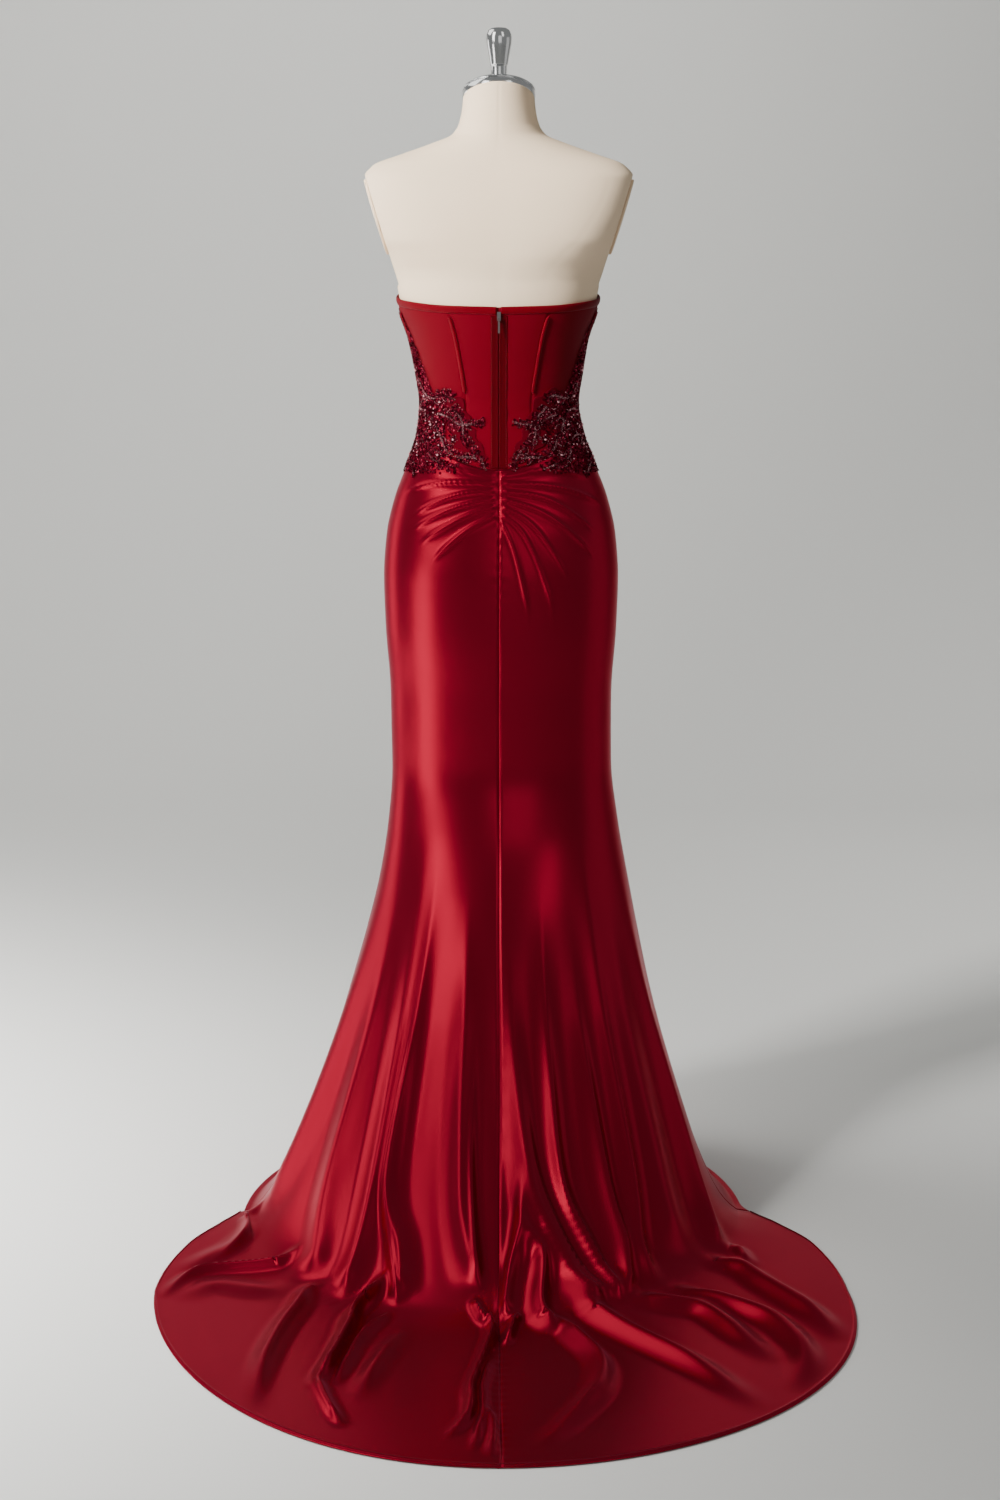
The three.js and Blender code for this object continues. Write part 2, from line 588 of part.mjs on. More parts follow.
// Boning channels on the seams of the back
for (const [side, word] of [[-1, "left"], [1, "right"]]) {
  for (const seam of ["inner", "outer"]) {
    const { top, bottom } = BONE_LENGTHS[seam];
    const rows = [];
    for (let r = 0; r <= BONE.rows; r += 1) {
      const z = lerp(top, bottom, r / BONE.rows);
      const deg = side * bodiceSeam(seam, z);
      const halfTurn = (BONE.wide / 2) * (gapDegrees(deg, z) / HALF_GAP);
      rows.push([-1, 0, 1].map((edge) => surfacePair(deg + edge * halfTurn, z, TRIM_LIFT, BONE.thick)));
    }
    addMesh(`bone_${seam}_${word}`, wallGeometry(rows), "trim");
  }
}

// Sequinned motifs, bands with a lobed edge that follow the cloth below them
function motifPair(deg, z) {
  const gather = z < waistSeam(deg) ? foldHeight(basePoint(deg, z), gatherLines) : 0;
  return surfacePair(deg, z, MOTIF.lift + gather, MOTIF.thick);
}

for (const motif of MOTIFS) {
  const rowed = motif.points.map((point, i) => ({ ...point, step: i / (motif.points.length - 1) }));
  const degAt = tableCurve(rowed, "step", "deg");
  const zAt = tableCurve(rowed, "step", "z");
  const halfAt = tableCurve(rowed, "step", "half");
  for (const [side, word] of [[-1, "left"], [1, "right"]]) {
    const rows = [];
    for (let r = 0; r <= MOTIF.rows; r += 1) {
      const t = r / MOTIF.rows;
      const perDegree = HALF_GAP / gapDegrees(degAt(t), zAt(t));
      const [before, after] = [Math.max(0, t - 0.01), Math.min(1, t + 0.01)];
      const along = new THREE.Vector2((degAt(after) - degAt(before)) * perDegree, zAt(after) - zAt(before));
      along.normalize();
      const half = halfAt(t) * (1 + MOTIF.lobes * Math.sin(2 * Math.PI * motif.lobeCount * t));
      const row = [];
      for (let c = 0; c <= motif.columns; c += 1) {
        const across = lerp(-half, half, c / motif.columns);
        row.push(motifPair(side * (degAt(t) - (across * along.y) / perDegree), zAt(t) + across * along.x));
      }
      rows.push(row);
    }
    addMesh(`${motif.name}_${word}`, wallGeometry(rows), "sequins");
  }
}

// A solid through closed rings of points, bottom ring first, with flat ends
function ringsGeometry(rings) {
  const count = rings[0].length;
  const positions = rings.flatMap((ring) => ring.flatMap((point) => [point.x, point.y, point.z]));
  const index = [];
  for (let r = 0; r < rings.length - 1; r += 1) {
    for (let c = 0; c < count; c += 1) {
      const [a, b] = [r * count + c, r * count + ((c + 1) % count)];
      index.push(a, b, b + count, a, b + count, a + count);
    }
  }
  for (const [first, flip] of [[0, true], [(rings.length - 1) * count, false]]) {
    for (let c = 1; c < count - 1; c += 1) {
      index.push(first, first + (flip ? c + 1 : c), first + (flip ? c : c + 1));
    }
  }
  return indexedGeometry(positions, index);
}

function toSolid(geometry) {
  const bare = geometry.clone();
  bare.deleteAttribute("normal");
  bare.deleteAttribute("uv");
  const merged = mergeVertices(bare, 1e-4);
  const triVerts = Uint32Array.from(merged.index.array);
  const vertProperties = Float32Array.from(merged.attributes.position.array);
  return new wasm.Manifold(new wasm.Mesh({ numProp: 3, vertProperties, triVerts }));
}

function fromSolid(solid) {
  const mesh = solid.getMesh();
  const geometry = new THREE.BufferGeometry();
  geometry.setAttribute("position", new THREE.BufferAttribute(mesh.vertProperties, 3));
  geometry.setIndex(new THREE.BufferAttribute(mesh.triVerts, 1));
  return geometry;
}

// Dress form: torso and neck in one, trimmed flat at the armholes for the arm plates
function formRing(size, square, height) {
  const ring = [];
  for (let c = 0; c < FORM_COLUMNS; c += 1) {
    const [x, y] = sectionPoint((360 * c) / FORM_COLUMNS, size, square);
    ring.push(new THREE.Vector3(x, y, height(y)));
  }
  return ring;
}

const inset = CLOTH + FORM_GAP;
const formRings = FORM_LEVELS.map((z) => {
  const size = dressSize(z);
  const inner = { ...size, half: size.half - inset, back: size.back - inset, front: size.front - inset };
  return formRing(inner, SQUARENESS_ABOVE, () => z);
});
for (const section of FORM_SECTIONS) {
  formRings.push(formRing({ ...section, mid: 0, lean: 0 }, section.square, () => section.z));
}
const neckTop = (y) => NECK_TOP.z - NECK_TOP.slope * y;
formRings.push(formRing({ ...NECK_TOP, mid: 0, lean: 0 }, 2, neckTop));

const plateUp = new THREE.Vector2(ARM_PLATE.topX - ARM_PLATE.lowX, ARM_PLATE.topZ - ARM_PLATE.lowZ);
const plateTilt = Math.atan2(plateUp.x, plateUp.y);
const plateX = (ARM_PLATE.topX + ARM_PLATE.lowX) / 2;
const plateZ = (ARM_PLATE.topZ + ARM_PLATE.lowZ) / 2;
const TRIM_BLOCK = 400;
let torso = toSolid(ringsGeometry(formRings));
for (const [side, word] of [[-1, "left"], [1, "right"]]) {
  const place = (geometry, off) => {
    geometry.translate(off, 0, 0);
    geometry.rotateY(plateTilt);
    if (side < 0) geometry.rotateZ(Math.PI);
    geometry.translate(side * plateX, ARM_PLATE.y, plateZ);
    return geometry;
  };
  const block = new THREE.BoxGeometry(TRIM_BLOCK, TRIM_BLOCK, ARM_PLATE.high * 1.25);
  torso = torso.subtract(toSolid(place(block, TRIM_BLOCK / 2)));
  const plate = new THREE.CylinderGeometry(0.5, 0.5, ARM_PLATE.thick, 32);
  plate.rotateZ(Math.PI / 2);
  plate.scale(1, ARM_PLATE.deep, ARM_PLATE.high);
  addMesh(`arm_plate_${word}`, place(plate, SEAM_GAP + ARM_PLATE.thick / 2), "linen");
}
addMesh("form_torso", fromSolid(torso), "linen");

// Turned pieces: profiles of radius and height
function turned(profile, segments) {
  const geometry = new THREE.LatheGeometry(profile.map(([r, z]) => new THREE.Vector2(r, z)), segments);
  geometry.rotateX(Math.PI / 2);
  return geometry;
}

function platedProfile(radius, high, edge, edgeBelow) {
  return [
    [0, 0],
    [radius - edgeBelow, 0],
    [radius, edgeBelow],
    [radius, high - edge],
    [radius - edge * 0.3, high - edge * 0.3],
    [radius - edge, high],
    [0, high],
  ];
}

const neckTilt = Math.atan(NECK_TOP.slope);
const cap = turned(platedProfile(CAP.radius, CAP.high, CAP.edge, CAP.edge / 2), 28);
cap.translate(0, 0, SEAM_GAP);
cap.rotateX(-neckTilt);
const capMesh = addMesh("neck_cap", cap, "chrome");
capMesh.position.set(0, 0, NECK_TOP.z);

// The knob's foot follows the slope of the cap it stands on.
const capTop = NECK_TOP.z + (CAP.high + 2 * SEAM_GAP) / Math.cos(neckTilt);
const knobProfile = [
  [0, capTop],
  [KNOB.stemR, capTop],
  [KNOB.stemR, KNOB.waistZ - 3],
  [KNOB.waistR, KNOB.waistZ],
  [KNOB.wideR - 1, KNOB.wideZ - 10],
  [KNOB.wideR, KNOB.wideZ],
  [KNOB.wideR - 2, KNOB.top - 7],
  [KNOB.wideR - 7, KNOB.top - 2],
  [0, KNOB.top],
];
const knob = turned(knobProfile, 20);
const knobPoints = knob.attributes.position;
for (let i = 0; i < knobPoints.count; i += 1) {
  if (knobPoints.getZ(i) < capTop + 0.01) knobPoints.setZ(i, capTop - NECK_TOP.slope * knobPoints.getY(i));
}
addMesh("cap_knob", knob, "chrome");

addMesh("stand_base", turned(platedProfile(BASE.radius, BASE.thick, BASE.edge, 0), 32), "painted");
const poleHeight = FORM_BOTTOM - BASE.thick - 2 * SEAM_GAP;
const pole = new THREE.CylinderGeometry(POLE_RADIUS, POLE_RADIUS, poleHeight, 24);
pole.rotateX(Math.PI / 2);
const poleMesh = addMesh("stand_pole", pole, "painted");
poleMesh.position.z = BASE.thick + SEAM_GAP + poleHeight / 2;

// Zip slider with its two lugs and pin, and the pull tab whose eye turns on the pin
function block(x, y, z) {
  const geometry = new THREE.BoxGeometry(x[1] - x[0], y[1] - y[0], z[1] - z[0]);
  geometry.translate((x[0] + x[1]) / 2, (y[0] + y[1]) / 2, (z[0] + z[1]) / 2);
  return toSolid(geometry);
}

// A rod along X through the hinge
function rod(radius, half, sides) {
  const geometry = new THREE.CylinderGeometry(radius, radius, 2 * half, sides);
  geometry.rotateZ(Math.PI / 2);
  geometry.translate(0, HINGE.y, HINGE.z);
  return toSolid(geometry);
}

let slider = block([-SLIDER.half, SLIDER.half], [SLIDER.outer, SLIDER.inner], [SLIDER.bottom, SLIDER.top]);
for (const side of [-1, 1]) {
  const [near, far] = side < 0 ? [-LUG.outer, -LUG.inner] : [LUG.inner, LUG.outer];
  slider = slider.add(block([near, far], [LUG.outerY, SLIDER.outer + 0.5], [SLIDER.bottom, LUG.top]));
}
slider = slider.add(rod(HINGE.pin, LUG.inner + 0.5, 10));
addMesh("zip_slider", fromSolid(slider), "silver");

const tabTop = HINGE.z - TAB.rootLength;
const tabY = [HINGE.y - TAB.thick / 2, HINGE.y + TAB.thick / 2];
const rootBlock = block([-HINGE.eyeHalf, HINGE.eyeHalf], tabY, [tabTop - 1, HINGE.z]);
const plateBlock = block([-TAB.half, TAB.half], tabY, [HINGE.z - TAB.length, tabTop]);
const tab = rod(HINGE.eye, HINGE.eyeHalf, 16)
  .add(rootBlock)
  .add(plateBlock)
  .subtract(rod(HINGE.bore, 2 * HINGE.eyeHalf, 16));
addMesh("zip_pull", fromSolid(tab), "silver");

export default part;
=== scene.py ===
# %% [markdown]
# A strapless mermaid prom dress on a limbless dress form, seen from behind.
# The solids of the dress and its form are already packed, in metres, with +Z up, the back and
# the train towards -Y and the floor at z 0. This lesson gives them their fine shape and finish:
# satin with real folds, a boned bodice, sequinned motifs, a jersey-covered form and chrome.

# %% The frame
import math

import bmesh
import bpy
import numpy as np
from mathutils import Matrix


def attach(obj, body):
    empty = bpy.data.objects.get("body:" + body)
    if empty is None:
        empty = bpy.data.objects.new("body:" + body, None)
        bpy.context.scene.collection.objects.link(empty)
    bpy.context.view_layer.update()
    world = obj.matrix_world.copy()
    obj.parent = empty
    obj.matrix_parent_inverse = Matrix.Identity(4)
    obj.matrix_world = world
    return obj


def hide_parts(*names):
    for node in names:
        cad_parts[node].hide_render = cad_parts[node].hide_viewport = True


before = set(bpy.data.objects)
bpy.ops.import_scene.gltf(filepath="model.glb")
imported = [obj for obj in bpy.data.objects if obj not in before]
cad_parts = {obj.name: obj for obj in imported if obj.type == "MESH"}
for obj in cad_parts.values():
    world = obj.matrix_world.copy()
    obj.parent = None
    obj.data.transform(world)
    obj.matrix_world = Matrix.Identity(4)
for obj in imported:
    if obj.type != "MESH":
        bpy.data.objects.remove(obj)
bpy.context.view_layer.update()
BODY = "dress_on_form"
MM = 0.001

# %% [markdown]
# The camera stands 3.8 m behind the form, a little above its waist, and looks slightly down, far
# enough away to take in the whole dress and its train. A lens of about 64 mm on a sensor 36 mm
# wide keeps the proportions of the body true.

# %% Camera
CAMERA_X = 0.0015
CAMERA_DISTANCE = 3.8
CAMERA_HEIGHT = 1.25
CAMERA_PITCH = 9.2
CAMERA_LENS = 63.6
CAMERA_SENSOR = 36
camera_data = bpy.data.cameras.new("camera")
camera_data.sensor_width = CAMERA_SENSOR
camera_data.lens = CAMERA_LENS
camera = bpy.data.objects.new("camera", camera_data)
camera.location = (CAMERA_X, -CAMERA_DISTANCE, CAMERA_HEIGHT)
camera.rotation_euler = (math.radians(90 - CAMERA_PITCH), 0, 0)
bpy.context.collection.objects.link(camera)
bpy.context.scene.camera = camera
print("camera", tuple(camera.location))

# %% [markdown]
# Satin shows its folds only by what it reflects, so the light matters as much as the shape. A
# tall soft panel on the left draws the bright band down the hip and the knee, low ones on that
# side pick out the flutes, and one above on the left lights the folds of the train. A weak one
# on the right gives the far side its edge, and two more stand behind the camera and high on the
# right. The backdrop has a wash of its own. A key for the form and a pool on the floor stay out
# of every reflection. The world is dim, so the cloth between the reflections goes deep red.

# %% Light
LIGHT_COLOUR = (1.0, 0.985, 0.96)
WORLD_COLOUR = (0.80, 0.82, 0.81, 1)
WORLD_STRENGTH = 0.28
PANELS = (
    ("panel_left_foot", -62, 2.9, 0.36, (1.2, 0.62), 9, 0),
    ("panel_left", -57, 2.9, 0.93, (0.8, 0.5), 5, 0),
    ("panel_left_behind", -118, 3.0, 1.0, (0.9, 1.6), 12, 0),
    ("panel_right", 92, 2.9, 1.0, (1.8, 2.0), 3.5, 0),
    ("panel_behind_camera", 10, 5.2, 2.1, (2.6, 2.2), 13, 0),
    ("panel_left_tall", -50, 3.2, 2.7, (1.1, 2.6), 42, 28),
    ("panel_high", 38, 4.0, 3.7, (1.2, 2.4), 14, 34),
    ("panel_over", -108, 2.4, 3.5, (2.6, 2.2), 36, 52),
)


def area_light(name, turn, distance, height, size, power, tilt, facing=None, beam=0):
    """A panel at a turn round the axis, 0 behind the form, which faces the axis and tilts down.
    One with a beam in degrees is narrow and doesn't show in what the satin reflects."""
    data = bpy.data.lights.new(name, "AREA")
    data.shape = "RECTANGLE"
    data.size, data.size_y = size
    data.energy = power
    data.color = LIGHT_COLOUR
    light = bpy.data.objects.new(name, data)
    angle = math.radians(turn)
    light.location = (distance * math.sin(angle), -distance * math.cos(angle), height)
    heading = angle if facing is None else math.radians(facing)
    light.rotation_euler = (math.radians(90 - tilt), 0, heading)
    bpy.context.collection.objects.link(light)
    if beam:
        data.spread = math.radians(beam)
        light.visible_glossy = False


for panel in PANELS:
    area_light(*panel)
area_light("wall_wash", 212, 2.1, 3.0, (4.2, 0.8), 72, 32, facing=16)
area_light("form_key", -46, 3.2, 2.9, (0.7, 0.5), 15, 24, beam=36)
area_light("floor_pool", -84, 1.9, 2.6, (1.4, 1.6), 90, 90, facing=0, beam=84)

world = bpy.data.worlds.new("studio")
world.use_nodes = True
background = world.node_tree.nodes["Background"]
background.inputs["Color"].default_value = WORLD_COLOUR
background.inputs["Strength"].default_value = WORLD_STRENGTH
bpy.context.scene.world = world
print("lights", len(bpy.data.lights))

# %% [markdown]
# The floor runs up into a wall in one curve, as a studio's paper roll does, so that no line
# shows behind the dress. One edge is extruded step by step: flat, round the cove and up.

# %% Floor
FLOOR_DROP = 0.0006
FLOOR_NEAR, FLOOR_FAR, FLOOR_HALF_WIDE = -7.0, 3.0, 8.0
COVE_RADIUS, COVE_STEPS, WALL_TOP = 1.6, 24, 2.9
bm = bmesh.new()
near = [bm.verts.new((x, FLOOR_NEAR, -FLOOR_DROP)) for x in (-FLOOR_HALF_WIDE, FLOOR_HALF_WIDE)]
edge = [bm.edges.new(near)]


def pull_edge(edges, vec):
    out = bmesh.ops.extrude_edge_only(bm, edges=edges)["geom"]
    bmesh.ops.translate(bm, verts=[v for v in out if isinstance(v, bmesh.types.BMVert)], vec=vec)
    return [e for e in out if isinstance(e, bmesh.types.BMEdge)]


edge = pull_edge(edge, (0, FLOOR_FAR - FLOOR_NEAR, 0))
for step in range(COVE_STEPS):
    before, after = (math.pi / 2 * (step + s) / COVE_STEPS for s in (0, 1))
    rise = COVE_RADIUS * (math.cos(before) - math.cos(after))
    edge = pull_edge(edge, (0, COVE_RADIUS * (math.sin(after) - math.sin(before)), rise))
pull_edge(edge, (0, 0, WALL_TOP - COVE_RADIUS))
bmesh.ops.recalc_face_normals(bm, faces=bm.faces)
floor_mesh = bpy.data.meshes.new("studio_floor")
bm.to_mesh(floor_mesh)
bm.free()
floor_mesh.shade_smooth()
studio_floor = bpy.data.objects.new("studio_floor", floor_mesh)
bpy.context.collection.objects.link(studio_floor)
print("floor faces", len(floor_mesh.polygons))

# %% [markdown]
# Every finish below is a Principled shader. The fine grain that most of them share is one node
# group: it mixes a colour with a second one by soft noise and puts out a bump height, both from
# Object coordinates, so that it stays where it is when the view turns.

# %% Shared grain group
BUMP_DISTANCE = 0.0004


def node(tree, kind, **inputs):
    made = tree.nodes.new(kind)
    for key, value in inputs.items():
        made.inputs[key].default_value = value
    return made


def grain_group():
    tree = bpy.data.node_groups.new("cloth_grain", "ShaderNodeTree")
    for name, kind, value in (
        ("Colour", "NodeSocketColor", (0.5, 0.5, 0.5, 1)),
        ("Shade", "NodeSocketColor", (0.3, 0.3, 0.3, 1)),
        ("Patches", "NodeSocketFloat", 8.0),
        ("Threads", "NodeSocketFloat", 900.0),
    ):
        socket = tree.interface.new_socket(name, in_out="INPUT", socket_type=kind)
        socket.default_value = value
    tree.interface.new_socket("Colour", in_out="OUTPUT", socket_type="NodeSocketColor")
    tree.interface.new_socket("Height", in_out="OUTPUT", socket_type="NodeSocketFloat")
    given = tree.nodes.new("NodeGroupInput")
    result = tree.nodes.new("NodeGroupOutput")
    place = tree.nodes.new("ShaderNodeTexCoord")
    patches = node(tree, "ShaderNodeTexNoise", Detail=2.0, Roughness=0.5)
    threads = node(tree, "ShaderNodeTexNoise", Detail=1.0, Roughness=0.6)
    mix = tree.nodes.new("ShaderNodeMix")
    mix.data_type = "RGBA"
    link = tree.links.new
    for noise, scale in ((patches, "Patches"), (threads, "Threads")):
        link(place.outputs["Object"], noise.inputs["Vector"])
        link(given.outputs[scale], noise.inputs["Scale"])
    link(patches.outputs["Fac"], mix.inputs["Factor"])
    link(given.outputs["Colour"], mix.inputs["A"])
    link(given.outputs["Shade"], mix.inputs["B"])
    link(mix.outputs["Result"], result.inputs["Colour"])
    link(threads.outputs["Fac"], result.inputs["Height"])
    return tree


GRAIN = grain_group()


def new_material(name, shader):
    """A Principled material with the given inputs, whose names have _ in place of a space."""
    material = bpy.data.materials.new(name)
    material.use_nodes = True
    principled = material.node_tree.nodes["Principled BSDF"]
    for key, value in shader.items():
        principled.inputs[key.replace("_", " ")].default_value = value
    return material, material.node_tree, principled


def cloth_finish(name, colour, tone_and_glint, patches, threads, bump, **shader):
    material, tree, principled = new_material(name, shader)
    grain = tree.nodes.new("ShaderNodeGroup")
    grain.node_tree = GRAIN
    for key, value in (
        ("Colour", (*colour, 1)), ("Shade", (*tone_and_glint, 1)), ("Patches", patches), ("Threads", threads),
    ):
        grain.inputs[key].default_value = value
    raised = node(tree, "ShaderNodeBump", Strength=bump, Distance=BUMP_DISTANCE)
    tree.links.new(grain.outputs["Colour"], principled.inputs["Base Color"])
    tree.links.new(grain.outputs["Height"], raised.inputs["Height"])
    tree.links.new(raised.outputs["Normal"], principled.inputs["Normal"])
    return material


print("grain group", GRAIN.name, "with", len(GRAIN.nodes), "nodes")

# %% [markdown]
# Satin floats long shiny threads over its face, so its gloss takes the cloth's own colour. A
# part-metallic shader does that: its reflections are tinted red. The bodice is the same red in
# a matte weave, the binding a touch darker, and the form's jersey a warm cream.

# %% Finishes
SATIN = cloth_finish(
    "satin", (0.285, 0.0055, 0.022), (0.25, 0.0045, 0.0175), 5.0, 1400.0, 0.04,
    Metallic=0.92, Roughness=0.29, Specular_Tint=(0.88, 0.475, 0.50, 1), Specular_IOR_Level=0.2,
    Sheen_Weight=0.10, Sheen_Roughness=0.5, Sheen_Tint=(1.0, 0.15, 0.32, 1),
)
BODICE = cloth_finish(
    "bodice_cloth", (0.118, 0.0019, 0.0075), (0.102, 0.0016, 0.006), 9.0, 1100.0, 0.12,
    Roughness=0.62, Specular_Tint=(1.0, 0.15, 0.2, 1), Specular_IOR_Level=0.14,
)
TRIM = cloth_finish(
    "trim", (0.125, 0.002, 0.007), (0.095, 0.0015, 0.005), 14.0, 1300.0, 0.10,
    Roughness=0.5, Specular_Tint=(1.0, 0.2, 0.25, 1), Specular_IOR_Level=0.12,
)
# Painted shade: the placket's cloth is made dark to stand for the shadow along the zip.
PLACKET_SHADE_CLOTH = cloth_finish(
    "placket_cloth", (0.060, 0.0008, 0.003), (0.045, 0.0006, 0.002), 14.0, 1300.0, 0.10,
    Roughness=0.5, Specular_Tint=(1.0, 0.2, 0.25, 1), Specular_IOR_Level=0.2,
)
JERSEY = cloth_finish(
    "form_cloth", (0.78, 0.61, 0.435), (0.75, 0.58, 0.405), 6.0, 1500.0, 0.10,
    Roughness=0.85, Specular_IOR_Level=0.25,
)
PAINT = cloth_finish(
    "stand_paint", (0.72, 0.71, 0.68), (0.66, 0.65, 0.62), 12.0, 600.0, 0.04, Roughness=0.45,
)
FLOOR = cloth_finish(
    "studio_paper", (0.76, 0.76, 0.74), (0.74, 0.74, 0.72), 0.6, 300.0, 0.02, Roughness=0.9,
)
CHROME = cloth_finish(
    "chrome", (0.78, 0.78, 0.78), (0.70, 0.70, 0.71), 40.0, 500.0, 0.02,
    Metallic=1.0, Roughness=0.14,
)
NICKEL = cloth_finish(
    "zip_metal", (0.30, 0.27, 0.27), (0.20, 0.17, 0.17), 300.0, 2500.0, 0.1,
    Metallic=1.0, Roughness=0.32,
)
studio_floor.data.materials.append(FLOOR)
print("finishes", [m.name for m in (SATIN, BODICE, TRIM, PLACKET_SHADE_CLOTH, JERSEY, PAINT, CHROME, NICKEL)])

# %% [markdown]
# The dress is worked out from a few tables, as the solids are: sections of the body at given
# heights, the train's spread over the floor, the upper edge and the seams. The tables are in
# millimetres and a smooth curve without overshoot runs through each column.

# %% Section tables
CLOTH = 1.2
SECTION_COLUMNS = ("z", "half", "back", "front", "mid", "lean")
DRESS_SECTIONS = (
    (1345, 156.0, 100, 108, 0, -1),
    (1300, 146.5, 100, 118, 0, -1),
    (1265, 139.5, 98, 121, 0, -1),
    (1225, 126.0, 92, 112, 0, -1),
    (1180, 117.5, 85, 97, 0, 0),
    (1135, 111.5, 81, 89, 0, 0),
    (1090, 118.5, 87, 91, 0, 2),
    (1050, 133.5, 95, 95, 0, 3),
    (1000, 152.5, 106, 100, 0, 3),
    (950, 163.8, 118, 101, 2, 3),
    (890, 168.0, 125, 100, 5, 3),
    (820, 166.0, 126, 100, 5, 3),
    (720, 159.3, 123, 101, 4, 3),
    (620, 158.8, 122, 105, 4, 4),
    (540, 165.7, 138, 115, 10, 6),
    (460, 177.7, 172, 130, 26, 7),
    (380, 194.8, 225, 150, 50, 5),
    (300, 215.5, 288, 172, 76, 2),
    (220, 240.0, 360, 195, 104, 0),
    (140, 268.0, 440, 218, 135, -3),
    (80, 292.0, 510, 236, 160, -6),
    (40, 312.0, 565, 246, 177, -7),
    (18, 328.0, 605, 250, 185, -8),
    (8, 338.0, 625, 253, 189, -8),
    (2, 346.0, 640, 256, 192, -8),
)
HEM_X, HEM_Y, HEM_HALF, HEM_LONG, HEM_SKEW, FRONT_LIP = 3, -500, 452, 541, 36, 8
FLOOR_HALF, FLOOR_BACK = 346.0, 640.0
SPREAD_COLUMNS = ("deg", "turn", "train")
TRAIN_SPREAD = (
    (0, 0, 1), (15, 28, 1), (30, 52, 1), (45, 73, 1), (60, 92, 1), (75, 109, 1),
    (84, 118, 0.75), (95, 126, 0), (180, 180, 0),
)
TOP_EDGE = (
    (0, 1268), (28, 1270), (60, 1276), (85, 1282), (110, 1290), (135, 1301), (152, 1303),
    (167, 1292), (180, 1274),
)
WAIST_SIDE_Z, WAIST_DIP, DIP_DEG = 1072, 27, 50


def smooth(t):
    t = np.clip(t, 0, 1)
    return t * t * (3 - 2 * t)


def table_curve(rows, column):
    rows = sorted(rows)
    keys = np.array([row[0] for row in rows], float)
    values = np.array([row[column] for row in rows], float)
    span = np.diff(keys)
    slope = np.diff(values) / span
    tangent = np.zeros(len(keys))
    tangent[0], tangent[-1] = slope[0], slope[-1]
    for i in range(1, len(keys) - 1):
        if slope[i - 1] * slope[i] > 0:
            after = 2 * span[i] + span[i - 1]
            before = span[i] + 2 * span[i - 1]
            tangent[i] = (after + before) / (after / slope[i - 1] + before / slope[i])

    def read(key):
        key = np.clip(np.asarray(key, float), keys[0], keys[-1])
        i = np.clip(np.searchsorted(keys, key) - 1, 0, len(span) - 1)
        t = (key - keys[i]) / span[i]
        rise = t * t * (3 - 2 * t)
        bend = t * (1 - t) ** 2 * tangent[i] - t * t * (1 - t) * tangent[i + 1]
        return values[i] + (values[i + 1] - values[i]) * rise + span[i] * bend

    return read


dress = {name: table_curve(DRESS_SECTIONS, i) for i, name in enumerate(SECTION_COLUMNS) if i}
spread = {name: table_curve(TRAIN_SPREAD, i) for i, name in enumerate(SPREAD_COLUMNS) if i}
top_edge_height = table_curve(TOP_EDGE, 1)


def from_back(deg):
    return np.abs(np.where(deg > 180, deg - 360, deg))


def top_edge(deg):
    return top_edge_height(from_back(deg))


def waist_seam(deg):
    return WAIST_SIDE_Z - WAIST_DIP * (1 - smooth(from_back(deg) / DIP_DEG))


print("waist seam at the centre back", float(waist_seam(np.array(0.0))))

# %% [markdown]
# One function gives any point of the dress without its folds, from an angle round the body (0
# at the centre back, 90 at the right side) and a level: a height in mm, or below 0 the share of
# the way over the floor to the hem, in percent.

# %% The dress without folds
TOP_Z = DRESS_SECTIONS[0][0]
FLOOR_Z = 2.0
HEM_LEVEL = -100
TRAIN_DEG = 95
SQUARE_BODY, SQUARE_FROM, SQUARE_SPAN = 0.2, 300, 300
STEP_HIGH, STEP_LOW, STEP_CHANGE_Z = 3.0, 1.5, 30


def section(deg, size, squareness):
    angle = np.radians(deg)
    sine, cosine = np.sin(angle), np.cos(angle)
    power = 2 / squareness
    x = size["half"] * np.sign(sine) * np.abs(sine) ** power + size["lean"] * sine * sine
    reach = np.abs(cosine) ** power
    behind = -size["mid"] - (size["back"] - size["mid"]) * reach
    before = -size["mid"] + (size["front"] + size["mid"]) * reach
    return x, np.where(cosine > 0, behind, before)


def base_point(deg, level):
    deg, level = np.broadcast_arrays(np.asarray(deg, float), np.asarray(level, float))
    z = np.maximum(level, FLOOR_Z)
    size = {name: curve(z) for name, curve in dress.items()}
    x, y = section(deg, size, 2 + SQUARE_BODY * np.clip((z - SQUARE_FROM) / SQUARE_SPAN, 0, 1))
    share = np.clip(-level / 100, 0, None)
    angle = np.radians(deg)
    out_x, out_y = np.sin(angle) / FLOOR_HALF, -np.cos(angle) / FLOOR_BACK
    length = np.hypot(out_x, out_y)
    turn = np.radians(spread["turn"](np.abs(deg))) * np.sign(deg)
    skew = HEM_SKEW * np.sin(turn) ** 2 * np.clip(np.cos(turn), 0, None)
    hem_x = HEM_X + HEM_HALF * np.sin(turn) + skew
    hem_y = HEM_Y - HEM_LONG * np.cos(turn)
    train = np.where(from_back(deg) < TRAIN_DEG, spread["train"](np.abs(deg)), 0)
    lip_x, lip_y = x + out_x / length * FRONT_LIP, y + out_y / length * FRONT_LIP
    x = x + (lip_x + (hem_x - lip_x) * train - x) * share
    y = y + (lip_y + (hem_y - lip_y) * train - y) * share
    return np.stack([x, y, z], -1)


def unit(vectors):
    return vectors / np.maximum(np.linalg.norm(vectors, axis=-1, keepdims=True), 1e-9)


def base_normal(deg, level):
    level = np.asarray(level, float)
    step = np.where(level > STEP_CHANGE_Z, STEP_HIGH, STEP_LOW)
    around = base_point(deg + 0.5, level) - base_point(deg - 0.5, level)
    above = base_point(deg, np.minimum(level + step, TOP_Z))
    below = base_point(deg, np.maximum(level - step, HEM_LEVEL))
    return unit(np.cross(around, above - below))


